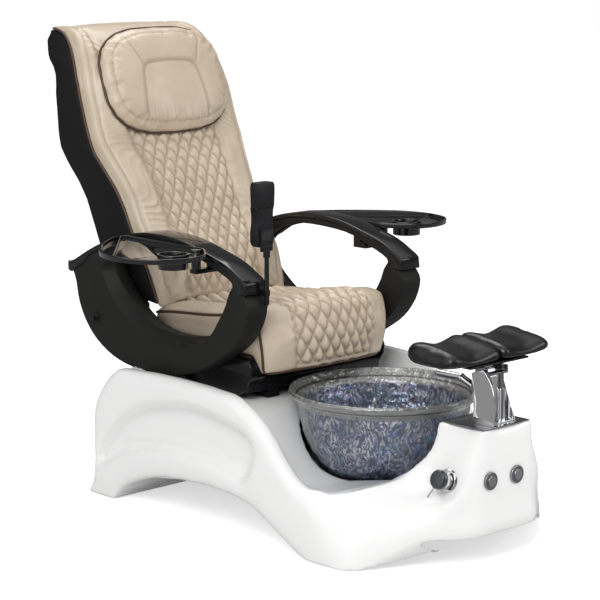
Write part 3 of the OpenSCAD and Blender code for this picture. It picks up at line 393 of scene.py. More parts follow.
# Key: name, colour, roughness where clean and where marked, then bump and brushing where they show.
METALS = {
    "chrome": ("Chrome", (0.83, 0.83, 0.84), 0.05, 0.13),
    "smoke_chrome": ("Smoked chrome", (0.36, 0.36, 0.38), 0.05, 0.12),
    "satin": ("Satin metal", (0.52, 0.53, 0.55), 0.22, 0.34),
    "brushed": ("Brushed steel", (0.58, 0.58, 0.59), 0.25, 0.35, 0.1, (900.0, 12.0, 900.0)),
    "brass": ("Brass", (0.78, 0.57, 0.25), 0.2, 0.4),
}


def make_materials(s):
    grain, mould, smudge = grain_group(), mould_group(), smudge_group()
    # dark is the leather's darker tone: it gives the mottle, and the painted shade in the sewn creases.
    tan, dark = tuple(s.leather_colour), tuple(s.mottle_and_crease_shade_colour)
    cord, cord_dark = tuple(s.piping_colour), (0.02, 0.01, 0.006)
    thread = tuple(c * 0.72 for c in tan)
    black, black_dark = (0.007, 0.007, 0.008), (0.003, 0.003, 0.004)
    m = {
        "gelcoat": gelcoat("White gelcoat", tuple(s.base_colour), mould),
        "leather": leather("Tan leather", tan, dark, grain),
        "piping": leather("Brown piping", cord, cord_dark, grain, 0.4, 0.2, False),
        "thread": leather("Seam thread", thread, dark, grain, 0.6, 0.1, False),
        "black_leather": leather("Black leather", black, black_dark, grain, 0.26, 0.08, False, 0.1),
        "glass": bowl_glass(hammer_group()),
        "braid": braid(),
    }
    m |= {key: plastic(name, colour, mould, *rest) for key, (name, colour, *rest) in PLASTICS.items()}
    m |= {key: metal(name, colour, smudge, *rest) for key, (name, colour, *rest) in METALS.items()}
    return m


# ---- Shared modelling steps -----------------------------------------------------------------


def deselect():
    if bpy.context.object and bpy.context.object.mode != "OBJECT":
        bpy.ops.object.mode_set(mode="OBJECT")
    bpy.ops.object.select_all(action="DESELECT")


def select(obj):
    deselect()
    obj.select_set(True)
    bpy.context.view_layer.objects.active = obj


def apply_modifiers(obj):
    select(obj)
    for m in list(obj.modifiers):
        bpy.ops.object.modifier_apply(modifier=m.name)


def new_object(name, mesh):
    obj = bpy.data.objects.new(name, mesh)
    bpy.context.scene.collection.objects.link(obj)
    select(obj)
    return obj


def edit_all(*steps):
    """Runs mesh operators on everything in the selected object."""
    bpy.ops.object.mode_set(mode="EDIT")
    for operator, options in steps:
        bpy.ops.mesh.select_all(action="SELECT")
        getattr(bpy.ops.mesh, operator)(**options)
    bpy.ops.object.mode_set(mode="OBJECT")


OUTWARD = ("normals_make_consistent", {"inside": False})


def clean_copy(node, name):
    """A new object with the node's mesh, its loose triangles merged."""
    mesh = nodes[node].data.copy()
    obj = new_object(name, mesh)
    mesh.name = name
    edit_all(("remove_doubles", {"threshold": 0.00002}), OUTWARD)
    if mesh.has_custom_normals:
        bpy.ops.mesh.customdata_custom_splitnormals_clear()
    return obj


def finish_piece(obj, node, material, replaced=None, smooth=True):
    """Gives a new piece its material and slot, and rides it on its node's body."""
    obj.data.materials.clear()
    obj.data.materials.append(material)
    if smooth:
        select(obj)
        bpy.ops.object.shade_smooth()
    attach(obj, nodes[node]["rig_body"])
    if replaced:
        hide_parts(*replaced)


def coords(obj):
    co = np.zeros(len(obj.data.vertices) * 3)
    obj.data.vertices.foreach_get("co", co)
    return co.reshape(-1, 3)


def normals(obj):
    n = np.zeros(len(obj.data.vertices) * 3)
    obj.data.vertices.foreach_get("normal", n)
    return n.reshape(-1, 3)


def set_coords(obj, co):
    obj.data.vertices.foreach_set("co", co.astype(np.float32).ravel())
    obj.data.update()


def neighbour_mean(obj, values, passes):
    """Each vertex's mean of values over its neighbours and itself, taken a number of times."""
    edges = np.zeros(len(obj.data.edges) * 2, np.int64)
    obj.data.edges.foreach_get("vertices", edges)
    a, b = edges.reshape(-1, 2).T
    total = len(obj.data.vertices)
    share = 1 + np.bincount(a, minlength=total) + np.bincount(b, minlength=total)
    values = values.copy()
    for _ in range(passes):
        values = np.stack([
            (v + np.bincount(a, v[b], total) + np.bincount(b, v[a], total)) / share
            for v in values.T], 1)
    return values


def set_mask(obj, name, values):
    layer = obj.data.attributes.new(name, "FLOAT", "POINT")
    layer.data.foreach_set("value", values.astype(np.float32))


def remesh(obj, voxel, smooth_steps):
    m = obj.modifiers.new("Remesh", "REMESH")
    m.mode = "VOXEL"
    m.voxel_size = voxel
    s = obj.modifiers.new("Smooth", "SMOOTH")
    s.factor = 0.5
    s.iterations = smooth_steps
    apply_modifiers(obj)


def subdivide(obj):
    m = obj.modifiers.new("Subdivision", "SUBSURF")
    m.levels = m.render_levels = 1
    apply_modifiers(obj)


def polyline(points, steps=12):
    """A smooth curve through points, as an array."""
    p = [np.array(q, float) for q in points]
    p = [2 * p[0] - p[1]] + p + [2 * p[-1] - p[-2]]
    out = []
    for a, b, c, d in zip(p, p[1:], p[2:], p[3:]):
        for k in range(steps):
            t = k / steps
            out.append(
                0.5 * (2 * b + (c - a) * t + (2 * a - 5 * b + 4 * c - d) * t**2
                       + (3 * b - a - 3 * c + d) * t**3)
            )
    out.append(p[-2])
    return np.array(out)


def arc_length(line):
    return np.concatenate([[0], np.cumsum(np.linalg.norm(np.diff(line, axis=0), axis=1))])


def tree_of(points):
    tree = kdtree.KDTree(len(points))
    for i, p in enumerate(points):
        tree.insert(p, i)
    tree.balance()
    return tree


def along_profile(yz, line):
    """For each point, the length along the profile to its nearest place, and the distance."""
    s = arc_length(line)
    fine = np.linspace(0, s[-1], 900)
    tree = tree_of([(y, z, 0) for y, z in zip(*(np.interp(fine, s, line[:, k]) for k in (0, 1)))])
    found = [tree.find((y, z, 0)) for y, z in yz]
    return fine[[f[1] for f in found]], np.array([f[2] for f in found])


def ridge(t):
    """0 on whole numbers and 1 between them, with a sharp crease at 0."""
    return np.abs(np.sin(np.pi * t)) ** 0.75


def step(a, b, x):
    """0 below a and 1 above b, with a smooth rise between them."""
    t = np.clip((x - a) / (b - a), 0, 1)
    return t * t * (3 - 2 * t)


def puff(obj, cap, pins):
    """Swells a padded piece with a short cloth simulation, and keeps each point near its start."""
    frames = 20
    scene = bpy.context.scene
    start = coords(obj)
    select(obj)
    m = obj.modifiers.new("Cloth", "CLOTH")
    m.settings.quality = 6
    m.settings.mass = 0.25
    m.settings.tension_stiffness = 18
    m.settings.compression_stiffness = 14
    m.settings.bending_stiffness = 0.35
    m.settings.use_pressure = True
    m.settings.uniform_pressure_force = 4.0
    m.settings.effector_weights.gravity = 0
    group = obj.vertex_groups.new(name="held")
    for i in np.nonzero(pins)[0]:
        group.add([int(i)], 1.0, "REPLACE")
    m.settings.vertex_group_mass = "held"
    m.point_cache.frame_start, m.point_cache.frame_end = 1, frames
    for f in range(1, frames + 1):
        scene.frame_set(f)
    shown = obj.evaluated_get(bpy.context.evaluated_depsgraph_get())
    moved = np.zeros(len(start) * 3)
    shown.data.vertices.foreach_get("co", moved)
    move = moved.reshape(-1, 3) - start
    size = np.linalg.norm(move, axis=1, keepdims=True)
    move *= np.minimum(1, cap / np.maximum(size, 1e-9))
    obj.modifiers.remove(m)
    scene.frame_set(1)
    set_coords(obj, start + move)


def tube(name, points, diameter, closed=False):
    """A round cord along points, as a mesh."""
    curve = bpy.data.curves.new(name, "CURVE")
    curve.dimensions = "3D"
    curve.bevel_depth = diameter / 2
    curve.bevel_resolution = 2
    curve.use_fill_caps = True
    spline = curve.splines.new("POLY")
    spline.points.add(len(points) - 1)
    for p, q in zip(spline.points, points):
        p.co = (*q, 1)
    spline.use_cyclic_u = closed
    new_object(name, curve)
    bpy.ops.object.convert(target="MESH")
    obj = bpy.context.object
    obj.name = obj.data.name = name
    return obj


def join(objs, name):
    deselect()
    for o in objs:
        o.select_set(True)
    bpy.context.view_layer.objects.active = objs[0]
    bpy.ops.object.join()
    objs[0].name = objs[0].data.name = name
    return objs[0]


def surface_points(obj, guesses, lift=0.0):
    """The places on obj nearest to each guess, lifted along the surface's normal."""
    out = []
    for g in guesses:
        _, where, normal, _ = obj.closest_point_on_mesh(Vector(g))
        out.append(np.array(where) + lift * np.array(normal))
    return np.array(out)


def nearest(obj, lines):
    """Each vertex's distance to the nearest of some lines."""
    pts = []
    for line in lines:
        s = arc_length(line)
        fine = np.linspace(0, s[-1], max(4, int(s[-1] / 0.0015)))
        pts.append(np.stack([np.interp(fine, s, line[:, k]) for k in range(3)], 1))
    pts = np.concatenate(pts)
    tree = tree_of(pts)
    return np.array([tree.find(p)[2] for p in coords(obj)])


def sew(obj, crease_shade, lines, depth, width):
    """Draws the leather in along seams, and adds painted shade along them to the shade mask it returns.
    """
    d = nearest(obj, lines)
    set_coords(obj, coords(obj) - normals(obj) * (depth * np.exp(-((d / width) ** 2)))[:, None])
    return np.maximum(crease_shade, 0.9 * np.exp(-((d / (0.35 * width)) ** 2)))


def quilt(obj, u, v, mask, wide, tall, height):
    """Raises sewn diamonds, and returns painted shade for the creases between them, as a mask."""
    a, b = u / wide + v / tall, u / wide - v / tall
    raised = ridge(a) * ridge(b)
    set_coords(obj, coords(obj) + normals(obj) * (mask * (raised - 0.45) * height)[:, None])
    slope = math.hypot(1 / wide, 1 / tall)
    d = np.minimum(np.abs(a - np.round(a)), np.abs(b - np.round(b))) / slope
    return mask * np.exp(-((d / 0.0032) ** 2))


def stitches(name, obj, lines):
    """Rows of thread dashes along lines on the surface."""
    pitch, long, thick = 0.006, 0.0042, 0.0009
    ring = [(math.cos(a), math.sin(a)) for a in np.linspace(0, 2 * math.pi, 7)[:-1]]
    one = np.array([(x, r * c, r * s) for x, r in ((-0.5, 0.25), (-0.3, 1), (0.3, 1), (0.5, 0.25))
                    for c, s in ring])
    faces = [(k * 6 + j, k * 6 + (j + 1) % 6, k * 6 + 6 + (j + 1) % 6, k * 6 + 6 + j)
             for k in range(3) for j in range(6)] + [(5, 4, 3, 2, 1, 0), (18, 19, 20, 21, 22, 23)]
    verts, polys = [], []
    for line in lines:
        s = arc_length(line)
        for at in np.arange(pitch / 2, s[-1], pitch):
            p, q = (np.array([np.interp(at + k, s, line[:, i]) for i in range(3)])
                    for k in (-0.001, 0.001))
            _, where, normal, _ = obj.closest_point_on_mesh(Vector((p + q) / 2))
            along = (q - p) / max(np.linalg.norm(q - p), 1e-9)
            up = np.array(normal)
            side = np.cross(up, along)
            local = one * (long, thick / 2, thick / 2)
            polys += [tuple(i + len(verts) for i in f) for f in faces]
            verts += list(np.array(where) + local[:, :1] * along + local[:, 1:2] * side
                          + local[:, 2:] * up)
    mesh = bpy.data.meshes.new(name)
    mesh.from_pydata([tuple(v) for v in verts], [], polys)
    out = new_object(name, mesh)
    edit_all(OUTWARD)
    return out


def smooth_line(line, passes=6):
    line = np.array(line)
    for _ in range(passes):
        line[1:-1] = 0.25 * line[:-2] + 0.5 * line[1:-1] + 0.25 * line[2:]
    return line


def beside(obj, line, shift):
    """A line on obj's surface, moved sideways along it by shift."""
    t = np.gradient(line, axis=0)
    t /= np.maximum(np.linalg.norm(t, axis=1, keepdims=True), 1e-9)
    n = np.array([obj.closest_point_on_mesh(Vector(p))[2] for p in line])
    return surface_points(obj, line + shift * np.cross(n, t))


def sew_rows(name, obj, node, seams, gap, m):
    """A row of thread on either side of each seam."""
    rows = [beside(obj, seam, d) for seam in seams for d in (-gap, gap)]
    finish_piece(stitches(name, obj, rows), node, m["thread"])


# ---- Seat -----------------------------------------------------------------------------------

SEAT_LINE = polyline([(0.357, 0.571), (0.285, 0.584), (0.2, 0.592), (0.1, 0.6), (0.0, 0.614),
                      (-0.075, 0.628), (-0.12, 0.63), (-0.141, 0.61), (-0.15, 0.552),
                      (-0.149, 0.492), (-0.14, 0.436)])
SEAT_BOW = 0.062  # how far the seat's front bows out in the middle
SEAT_CROWN, NOSE_CROWN = 0.01, 0.014  # its rise in the middle, at the rear and at the front


def seat_front(y):
    """0 on the seat's rear and 1 on its front, at y along its straight line."""
    return np.clip((0.06 - y) / 0.2, 0, 1)


def seat_share(z):
    """The seat's width at height z, as a share of its full width."""
    return np.interp(z, [0.43, 0.54, 0.6], [0.9, 0.98, 1.0])


def seat_point(u, s, half, lift=0.0):
    """The place on the seat's surface at width u and length s along its line."""
    total = arc_length(SEAT_LINE)
    y, z = (np.interp(s, total, SEAT_LINE[:, k]) for k in (0, 1))
    f = seat_front(y)
    k = 1 - (u / half) ** 2
    z = z + SEAT_CROWN * k * (1 - f) + NOSE_CROWN * k * f + lift
    return np.array([u * seat_share(z), y - SEAT_BOW * k * f * f + ORIGIN_Y, z])


def make_seat(s, m):
    half = s.seat_width / 2
    obj = clean_copy("seat_cushion", "seat_leather")
    remesh(obj, 0.006, 16)
    puff(obj, 0.007, coords(obj)[:, 2] < 0.5)
    subdivide(obj)
    co = coords(obj)
    u = co[:, 0] / seat_share(co[:, 2])
    k = 1 - np.clip(u / half, -1, 1) ** 2
    y = co[:, 1] - ORIGIN_Y
    base = y.copy()
    for _ in range(6):
        f = seat_front(base)
        base = y + SEAT_BOW * k * f * f
    z = co[:, 2] - SEAT_CROWN * k * (1 - f) - NOSE_CROWN * k * f
    v, off = along_profile(np.stack([base, z], 1), SEAT_LINE)
    total = arc_length(SEAT_LINE)[-1]
    w = s.seat_panel_width / 2
    top = 1 - step(0.02, 0.03, off)
    mask = (1 - step(w - 0.006, w + 0.002, np.abs(u))) * step(0.03, 0.05, v)
    mask *= (1 - step(total - 0.03, total - 0.012, v)) * top
    crease_shade = quilt(obj, u, v - total, mask, s.diamond_width, s.diamond_height, s.tuft)
    edges = []
    for side in (-1, 1):
        line = [seat_point(side * w, t, half) for t in np.linspace(0.0, total - 0.012, 60)]
        edges.append(surface_points(obj, line))
    front = surface_points(obj, [seat_point(x, total - 0.02, half) for x in np.linspace(-w, w, 30)])
    crease_shade = sew(obj, crease_shade, edges + [front], 0.003, 0.007)
    rim = []
    for side in (-1, 1):
        line = [seat_point(side * (half + 0.012), t, half, -0.004)
                for t in np.linspace(0.004, total - 0.004, 70)]
        rim.append(surface_points(obj, line, 0.0005))
    line = [seat_point(x, total, half, -0.012) for x in np.linspace(-half, half, 40)]
    under = surface_points(obj, line, 0.0005)
    cord = np.concatenate([rim[0], under, rim[1][::-1]])
    crease_shade = sew(obj, crease_shade, [cord], 0.002, 0.006)
    set_mask(obj, "crease_shade", crease_shade)
    finish_piece(obj, "seat_cushion", m["leather"], ["seat_cushion"])
    piping = tube("seat_piping", smooth_line(cord), s.piping)
    finish_piece(piping, "seat_cushion", m["piping"])
    sew_rows("seat_stitches", obj, "seat_cushion", edges, 0.0035, m)


# ---- Back -----------------------------------------------------------------------------------

BACK_LINE = polyline([(0.318, 0.59), (0.345, 0.64), (0.372, 0.69), (0.404, 0.735), (0.451, 0.807),
                      (0.501, 0.908), (0.552, 0.985), (0.588, 1.041), (0.614, 1.098), (0.652, 1.207),
                      (0.697, 1.303), (0.765, 1.377), (0.843, 1.398)])
WAIST = 0.264  # half the back's width at its lower part


def back_half(z):
    """Half the back's width at height z."""
    return np.interp(z, [0.88, 0.94, 1.04, 1.207, 1.307, 1.386],
                     [0.264, 0.2748, 0.3, 0.2971, 0.2802, 0.2503])


def panel_half(s, v):
    """Half the width between the bolsters, at length v along the edge line."""
    return s.back_panel_width / 2 + 0.05 * step(0.62, 0.85, v)


def back_point(u, s, out):
    """A place out in front of the back's edge line, at length s along it."""
    total = arc_length(BACK_LINE)
    y, z = (np.interp(s, total, BACK_LINE[:, k]) for k in (0, 1))
    ya, za = (np.interp(s + 0.01, total, BACK_LINE[:, k]) for k in (0, 1))
    t = np.array([ya - y, za - z])
    t /= max(np.linalg.norm(t), 1e-9)
    return np.array([u * back_half(z) / WAIST, y - t[1] * out + ORIGIN_Y, z + t[0] * out])


def make_back(s, m):
    obj = clean_copy("back_cushion", "back_leather")
    remesh(obj, 0.007, 14)
    co = coords(obj)
    co[:, 2] -= s.tuck * (1 - step(0.585, 0.66, co[:, 2]))
    set_coords(obj, co)
    off = along_profile(co[:, 1:] - (ORIGIN_Y, 0), BACK_LINE)[1]
    puff(obj, 0.007, off < 0.006)
    subdivide(obj)
    co = coords(obj)
    v, off = along_profile(co[:, 1:] - (ORIGIN_Y, 0), BACK_LINE)
    length = arc_length(BACK_LINE)
    total = length[-1]
    u = co[:, 0] * WAIST / back_half(np.interp(v, length, BACK_LINE[:, 1]))
    ahead = normals(obj)[:, 1] < -0.15
    front = ahead * step(0.012, 0.02, off)
    panel, w = s.back_panel_width / 2, panel_half(s, v)
    side = np.abs(u)
    low = v < 0.63
    mask = (1 - step(panel - 0.006, panel + 0.002, side)) * front * low * step(0.0, 0.03, v)
    crease_shade = quilt(obj, u, v, mask, s.diamond_width, s.diamond_height, s.tuft)
    bolster = step(w, w + 0.03, side) * (1 - step(WAIST - 0.05, WAIST - 0.02, side)) * front
    wave = np.sin(v * 150 + side * 110 + 6 * np.sin(v * 23 + 30 * u) + np.sign(u) * 2)
    slow = 0.5 + 0.5 * np.sin(v * 31 + np.sign(u) * 1.3)
    fold = bolster * np.exp(-((side - w) / 0.06)) * (0.35 + 0.65 * slow) * np.maximum(wave, -0.4)
    set_coords(obj, coords(obj) + normals(obj) * (0.0062 * fold + 0.007 * bolster)[:, None])
    inner, outer, rim = [], [], []
    for sign in (-1, 1):
        line = [back_point(sign * panel_half(s, t), t, 0.05)
                for t in np.linspace(0.0, total - 0.01, 110)]
        inner.append(surface_points(obj, line))
        line = [back_point(sign * (WAIST - 0.026), t, 0.045)
                for t in np.linspace(0.01, total - 0.05, 100)]
        outer.append(surface_points(obj, line))
        line = [back_point(sign * (WAIST + 0.012), t, 0.006)
                for t in np.linspace(0.004, total - 0.004, 110)]
        rim.append(surface_points(obj, line, 0.003))
    crease_shade = sew(obj, crease_shade, inner, 0.007, 0.011)
    crease_shade = sew(obj, crease_shade, outer, 0.0022, 0.006)
    set_mask(obj, "crease_shade", crease_shade)
    finish_piece(obj, "back_cushion", m["leather"], ["back_cushion"])
    cords = [tube(f"back_piping_{k}", smooth_line(r), s.piping) for k, r in enumerate(rim)]
    finish_piece(join(cords, "back_piping"), "back_cushion", m["piping"])
    sew_rows("back_stitches", obj, "back_cushion", outer, 0.0035, m)


# ---- Head pillow ----------------------------------------------------------------------------

PILLOW_AT = np.array([0.0, 0.6163, 1.236])
PILLOW_LEAN = math.radians(20)
PILLOW_UP = np.array([0, math.sin(PILLOW_LEAN), math.cos(PILLOW_LEAN)])
PILLOW_OUT = np.array([0, -math.cos(PILLOW_LEAN), math.sin(PILLOW_LEAN)])


def pillow_point(x, z, out=0.06):
    return PILLOW_AT + (x, 0, 0) + z * PILLOW_UP + out * PILLOW_OUT


def rounded_loop(wide, tall):
    """Points round a rectangle with large round corners, of half sizes wide and tall."""
    turns = [(math.cos(a), math.sin(a)) for a in np.linspace(0, 2 * math.pi, 160)]
    return [(wide * np.sign(c) * abs(c) ** 0.68, tall * np.sign(s) * abs(s) ** 0.68)
            for c, s in turns]


def make_pillow(s, m):
    obj = clean_copy("head_pillow", "pillow_leather")
    remesh(obj, 0.005, 8)
    puff(obj, 0.006, (coords(obj) - PILLOW_AT) @ PILLOW_OUT < 0.004)
    subdivide(obj)
    panel = polyline([(-0.128, -0.15), (-0.122, -0.08), (-0.112, -0.01), (-0.103, 0.026),
                      (-0.083, 0.044), (-0.03, 0.05), (0.03, 0.05), (0.083, 0.044), (0.103, 0.026),
                      (0.112, -0.01), (0.122, -0.08), (0.128, -0.15)])
    seam = surface_points(obj, [pillow_point(x, z) for x, z in panel])
    corner = polyline([(0.1, 0.03), (0.118, 0.07), (0.138, 0.11), (0.15, 0.15)])
    corners = [surface_points(obj, [pillow_point(k * x, z) for x, z in corner]) for k in (-1, 1)]
    border = [pillow_point(x, z, 0.07) for x, z in rounded_loop(0.231, 0.161)]
    edge = smooth_line(surface_points(obj, border), 25)
    co = coords(obj) - PILLOW_AT
    x, z = co[:, 0], co @ PILLOW_UP
    front = step(0.03, 0.045, co @ PILLOW_OUT)
    inside = (1 - step(0.095, 0.12, np.abs(x) + 0.1 * (z + 0.05))) * (1 - step(0.02, 0.06, z))
    gather = np.exp(-((z + 0.135) / 0.03) ** 2) * np.maximum(
        np.sin(x * 330 + 3 * np.sin(x * 70)), -0.2) * (np.abs(x) < 0.12)
    set_coords(obj, coords(obj) + normals(obj) * (
        front * (0.0022 * gather - 0.003 * inside))[:, None])
    crease_shade = np.zeros(len(co))
    crease_shade = sew(obj, crease_shade, [seam], 0.0065, 0.009)
    crease_shade = sew(obj, crease_shade, corners, 0.0025, 0.007)
    crease_shade = sew(obj, crease_shade, [edge], 0.002, 0.006)
    set_mask(obj, "crease_shade", crease_shade)
    finish_piece(obj, "head_pillow", m["leather"], ["head_pillow"])
    loop = [pillow_point(x, z, 0.014) for x, z in rounded_loop(0.25194, 0.17952)[:-1]]
    cord = smooth_line(surface_points(obj, loop, 0.003), 8)
    finish_piece(tube("pillow_piping", cord, s.piping, closed=True), "head_pillow", m["piping"])
    sew_rows("pillow_stitches", obj, "head_pillow", [edge], 0.003, m)


# ---- Footrest -------------------------------------------------------------------------------


def make_footrest(s, m):
    for side in ("right", "left"):
        node = f"footrest_pad_{side}"
        obj = clean_copy(node, f"{node}_leather")
        remesh(obj, 0.0045, 8)
        low = coords(obj)[:, 2].min()
        puff(obj, 0.004, coords(obj)[:, 2] < low + 0.006)
        set_coords(obj, neighbour_mean(obj, coords(obj), 8))
        subdivide(obj)
        finish_piece(obj, node, m["black_leather"], [node])


# ---- Base and bowl --------------------------------------------------------------------------

BOWL_Y = -0.39 + ORIGIN_Y


def make_base(s, m):
    """The moulding: remeshed, its free faces smoothed, and the faces inside it thinned out."""
    obj = clean_copy("base_shell", "base_moulding")
    swell, above_floor = 0.0024, 0.0003
    grown = obj.modifiers.new("Thin lips kept", "DISPLACE")
    grown.strength, grown.mid_level = swell, 0.0
    remesh(obj, 0.0063, 7)
    co, n = coords(obj), normals(obj)
    co -= swell * n
    co[:, 2] = np.maximum(co[:, 2], above_floor)
    fitted = ("button_bezels", "valve_flange", "rear_panel", "console_plate")
    tree = tree_of([v.co for k in fitted for v in nodes[k].data.vertices])
    near = np.array([tree.find(p)[2] for p in co])
    from_bowl = np.hypot(co[:, 0], co[:, 1] - BOWL_Y)
    rim = np.exp(-((from_bowl - 0.272) / 0.04) ** 2) * step(0.28, 0.33, co[:, 2])
    spread = neighbour_mean(obj, n, 5)
    thick = step(0.45, 0.8, np.linalg.norm(spread, axis=1))
    free = thick * step(0.012, 0.06, near) * (1 - rim) * step(0.004, 0.03, co[:, 2])
    for _ in range(60):
        co += 0.5 * free[:, None] * (neighbour_mean(obj, co, 1) - co)
    foot = (1 - step(0.008, 0.05, co[:, 2])) * step(0.004, 0.02, near)
    for _ in range(14):
        across = 0.5 * foot[:, None] * (neighbour_mean(obj, co, 1) - co)
        co[:, :2] += across[:, :2]
    set_coords(obj, co)
    hidden = obj.vertex_groups.new(name="hidden")
    middle = np.array([0.0, 0.0, 0.22])
    for i in np.nonzero(np.einsum("ij,ij->i", n, co - middle) < -0.05)[0]:
        if co[i, 2] > 0.03:
            hidden.add([int(i)], 1.0, "REPLACE")
    thin = obj.modifiers.new("Fewer hidden faces", "DECIMATE")
    thin.ratio = 0.35
    thin.vertex_group = "hidden"
    thin.vertex_group_factor = 10.0
    apply_modifiers(obj)
    finish_piece(obj, "base_shell", m["gelcoat"], ["base_shell"])


def bowl_profile(s):
    """The bowl's closed outline in radius and height, from the drain up the outside."""
    rim, body, foot, bore, low = 0.278, 0.25, 0.15, 0.022, 0.165
    side = polyline([(foot, low), (foot + 0.038, 0.179), (body - 0.034, 0.227),
                     (body - 0.013, 0.287), (body - 0.003, 0.341), (body + 0.002, 0.368),
                     (body + 0.016, 0.384), (rim, 0.398)], 6)
    t = np.gradient(side, axis=0)
    t /= np.linalg.norm(t, axis=1, keepdims=True)
    wall = side + np.stack([-t[:, 1], t[:, 0]], 1) * s.glass_thickness
    wall = wall[(wall[:, 1] > 0.1745)][:-3]
    lip = [(rim, 0.404), (rim - 0.003, 0.409), (rim - 0.006, 0.4102), (rim - 0.009, 0.408)]
    return ([(bore, low)] + [tuple(p) for p in side] + lip + [tuple(p) for p in wall[::-1]]
            + [(foot - 0.002, 0.174), (bore, 0.174)])


def make_bowl(s, m):
    outline = bowl_profile(s)
    mesh = bpy.data.meshes.new("glass_bowl")
    centre = (0.0, BOWL_Y, 0.0)
    edges = [(i, (i + 1) % len(outline)) for i in range(len(outline))]
    mesh.from_pydata([(r, centre[1], z) for r, z in outline], edges, [])
    obj = new_object("glass_bowl", mesh)
    turn = {"steps": 180, "angle": 2 * math.pi, "center": centre, "axis": (0, 0, 1)}
    edit_all(("spin", turn), ("remove_doubles", {"threshold": 0.00005}), OUTWARD)
    wave = bpy.data.textures.new("Hammer marks", "VORONOI")
    wave.noise_scale = 0.03
    m1 = obj.modifiers.new("Hammered", "DISPLACE")
    m1.texture = wave
    m1.texture_coords = "LOCAL"
    m1.strength = 0.0035
    m1.mid_level = 0.6
    group = obj.vertex_groups.new(name="hammered")
    for i, z in enumerate(coords(obj)[:, 2]):
        k = float(step(0.17, 0.19, z) * (1 - step(0.362, 0.374, z)))
        if k > 0:
            group.add([i], k, "REPLACE")
    m1.vertex_group = "hammered"
    apply_modifiers(obj)
    finish_piece(obj, "foot_bowl", m["glass"], ["foot_bowl"])


# ---- Hard parts -----------------------------------------------------------------------------

# Node: its finish, and the width in millimetres of the rounding on its edges.
FINISHES = {
    "base_frame": ("chassis", 0), "levelling_feet": ("rubber", 1), "rear_panel": ("gelcoat", 0.8),
    "panel_screws": ("chrome", 0), "bowl_gasket": ("rubber", 0), "drain_strainer": ("chrome", 0.5),
    "drain_pipe": ("white_plastic", 0), "pump_housing": ("pump", 0),
    "pump_impeller": ("white_plastic", 0), "pump_hoses": ("rubber", 0),
    "supply_hoses": ("braid", 0), "water_inlets": ("brass", 0),
    "control_box": ("grey_plastic", 1.5), "power_inlet": ("rubber", 0.6),
    "console_plate": ("smoke_chrome", 0.6), "footrest_column": ("chrome", 0.8),
    "spout": ("chrome", 0), "valve_flange": ("chrome", 1), "valve_knob": ("knob", 1.5),
    "valve_lever": ("chrome", 0.8), "button_bezels": ("smoke_chrome", 1.2),
    "button_right": ("satin", 0.8), "button_left": ("satin", 0.8), "button_side": ("satin", 0.8),
    "slide_rails": ("frame", 0), "slide_tube": ("frame", 0),
    "footrest_slider": ("smoke_chrome", 0.6), "footrest_bracket": ("frame", 1),
    "seat_frame": ("frame", 0.8), "seat_rails": ("frame", 0), "slide_rod": ("brushed", 0),
    "seat_pan": ("frame", 0.6), "arm_right": ("textured", 4), "arm_left": ("textured", 4),
    "arm_cap_right": ("gloss", 4), "arm_cap_left": ("gloss", 4), "arm_bolts": ("frame", 0.8),
    "tray_brackets": ("frame", 1), "tray_right": ("mirror", 1.3), "tray_left": ("mirror", 1.3),
    "remote_stalk": ("frame", 0.6), "remote_holder": ("remote", 1), "remote_handset": ("remote", 3),
    "remote_keypad": ("keys", 0.4), "back_frame": ("chassis", 0), "back_shell": ("shell", 5),
    "massage_carriage": ("grey_plastic", 0), "massage_rollers": ("white_plastic", 0),
    "recline_tube": ("chassis", 0), "recline_rod": ("brushed", 0),
}


def machined(node, material, width):
    """A copy of the node with rounded edges, which stands for it."""
    obj = clean_copy(node, f"{node}_finished")
    sharp = math.radians(38)
    edit_all(("dissolve_limited", {"angle_limit": math.radians(0.6)}))
    b = obj.modifiers.new("Rounded edges", "BEVEL")
    b.width = width / 1000
    b.segments = 3
    b.limit_method = "ANGLE"
    b.angle_limit = sharp
    b.use_clamp_overlap = False
    b.harden_normals = False
    apply_modifiers(obj)
    select(obj)
    bpy.ops.object.shade_smooth_by_angle(angle=sharp)
    finish_piece(obj, node, material, [node], smooth=False)


def make_hard_parts(s, m):
    for node, (finish, width) in FINISHES.items():
        if width:
            machined(node, m[finish], width)
        else:
            data = nodes[node].data
            data.materials.clear()
            data.materials.append(m[finish])


# ---- Stage ----------------------------------------------------------------------------------

CAMERA_AT = (-4.308, -4.601, 1.773)
CAMERA_TURN = (math.radians(79.585), 0, math.radians(-43.276))
CAMERA_LENS = 127.86
# Name, place, aim, size in metres and power in watts.
LAMPS = (
    ("Key light", (-3.4, -2.2, 3.6), (0, 0, 0.5), 2.2, 95),
    ("Fill light", (2.6, -4.2, 2.4), (0, -0.2, 0.4), 2.6, 55),
    ("Top light", (0.6, 1.4, 4.2), (0, 0.1, 0.6), 2.4, 60),
)


def ray_kinds(t):
    """Where a surface is seen straight or through glass, and where it is seen in a mirror."""
    path = t.add("ShaderNodeLightPath").outputs
    return t.math("MAXIMUM", path["Is Camera Ray"], path["Is Transmission Ray"]), path["Is Glossy Ray"]


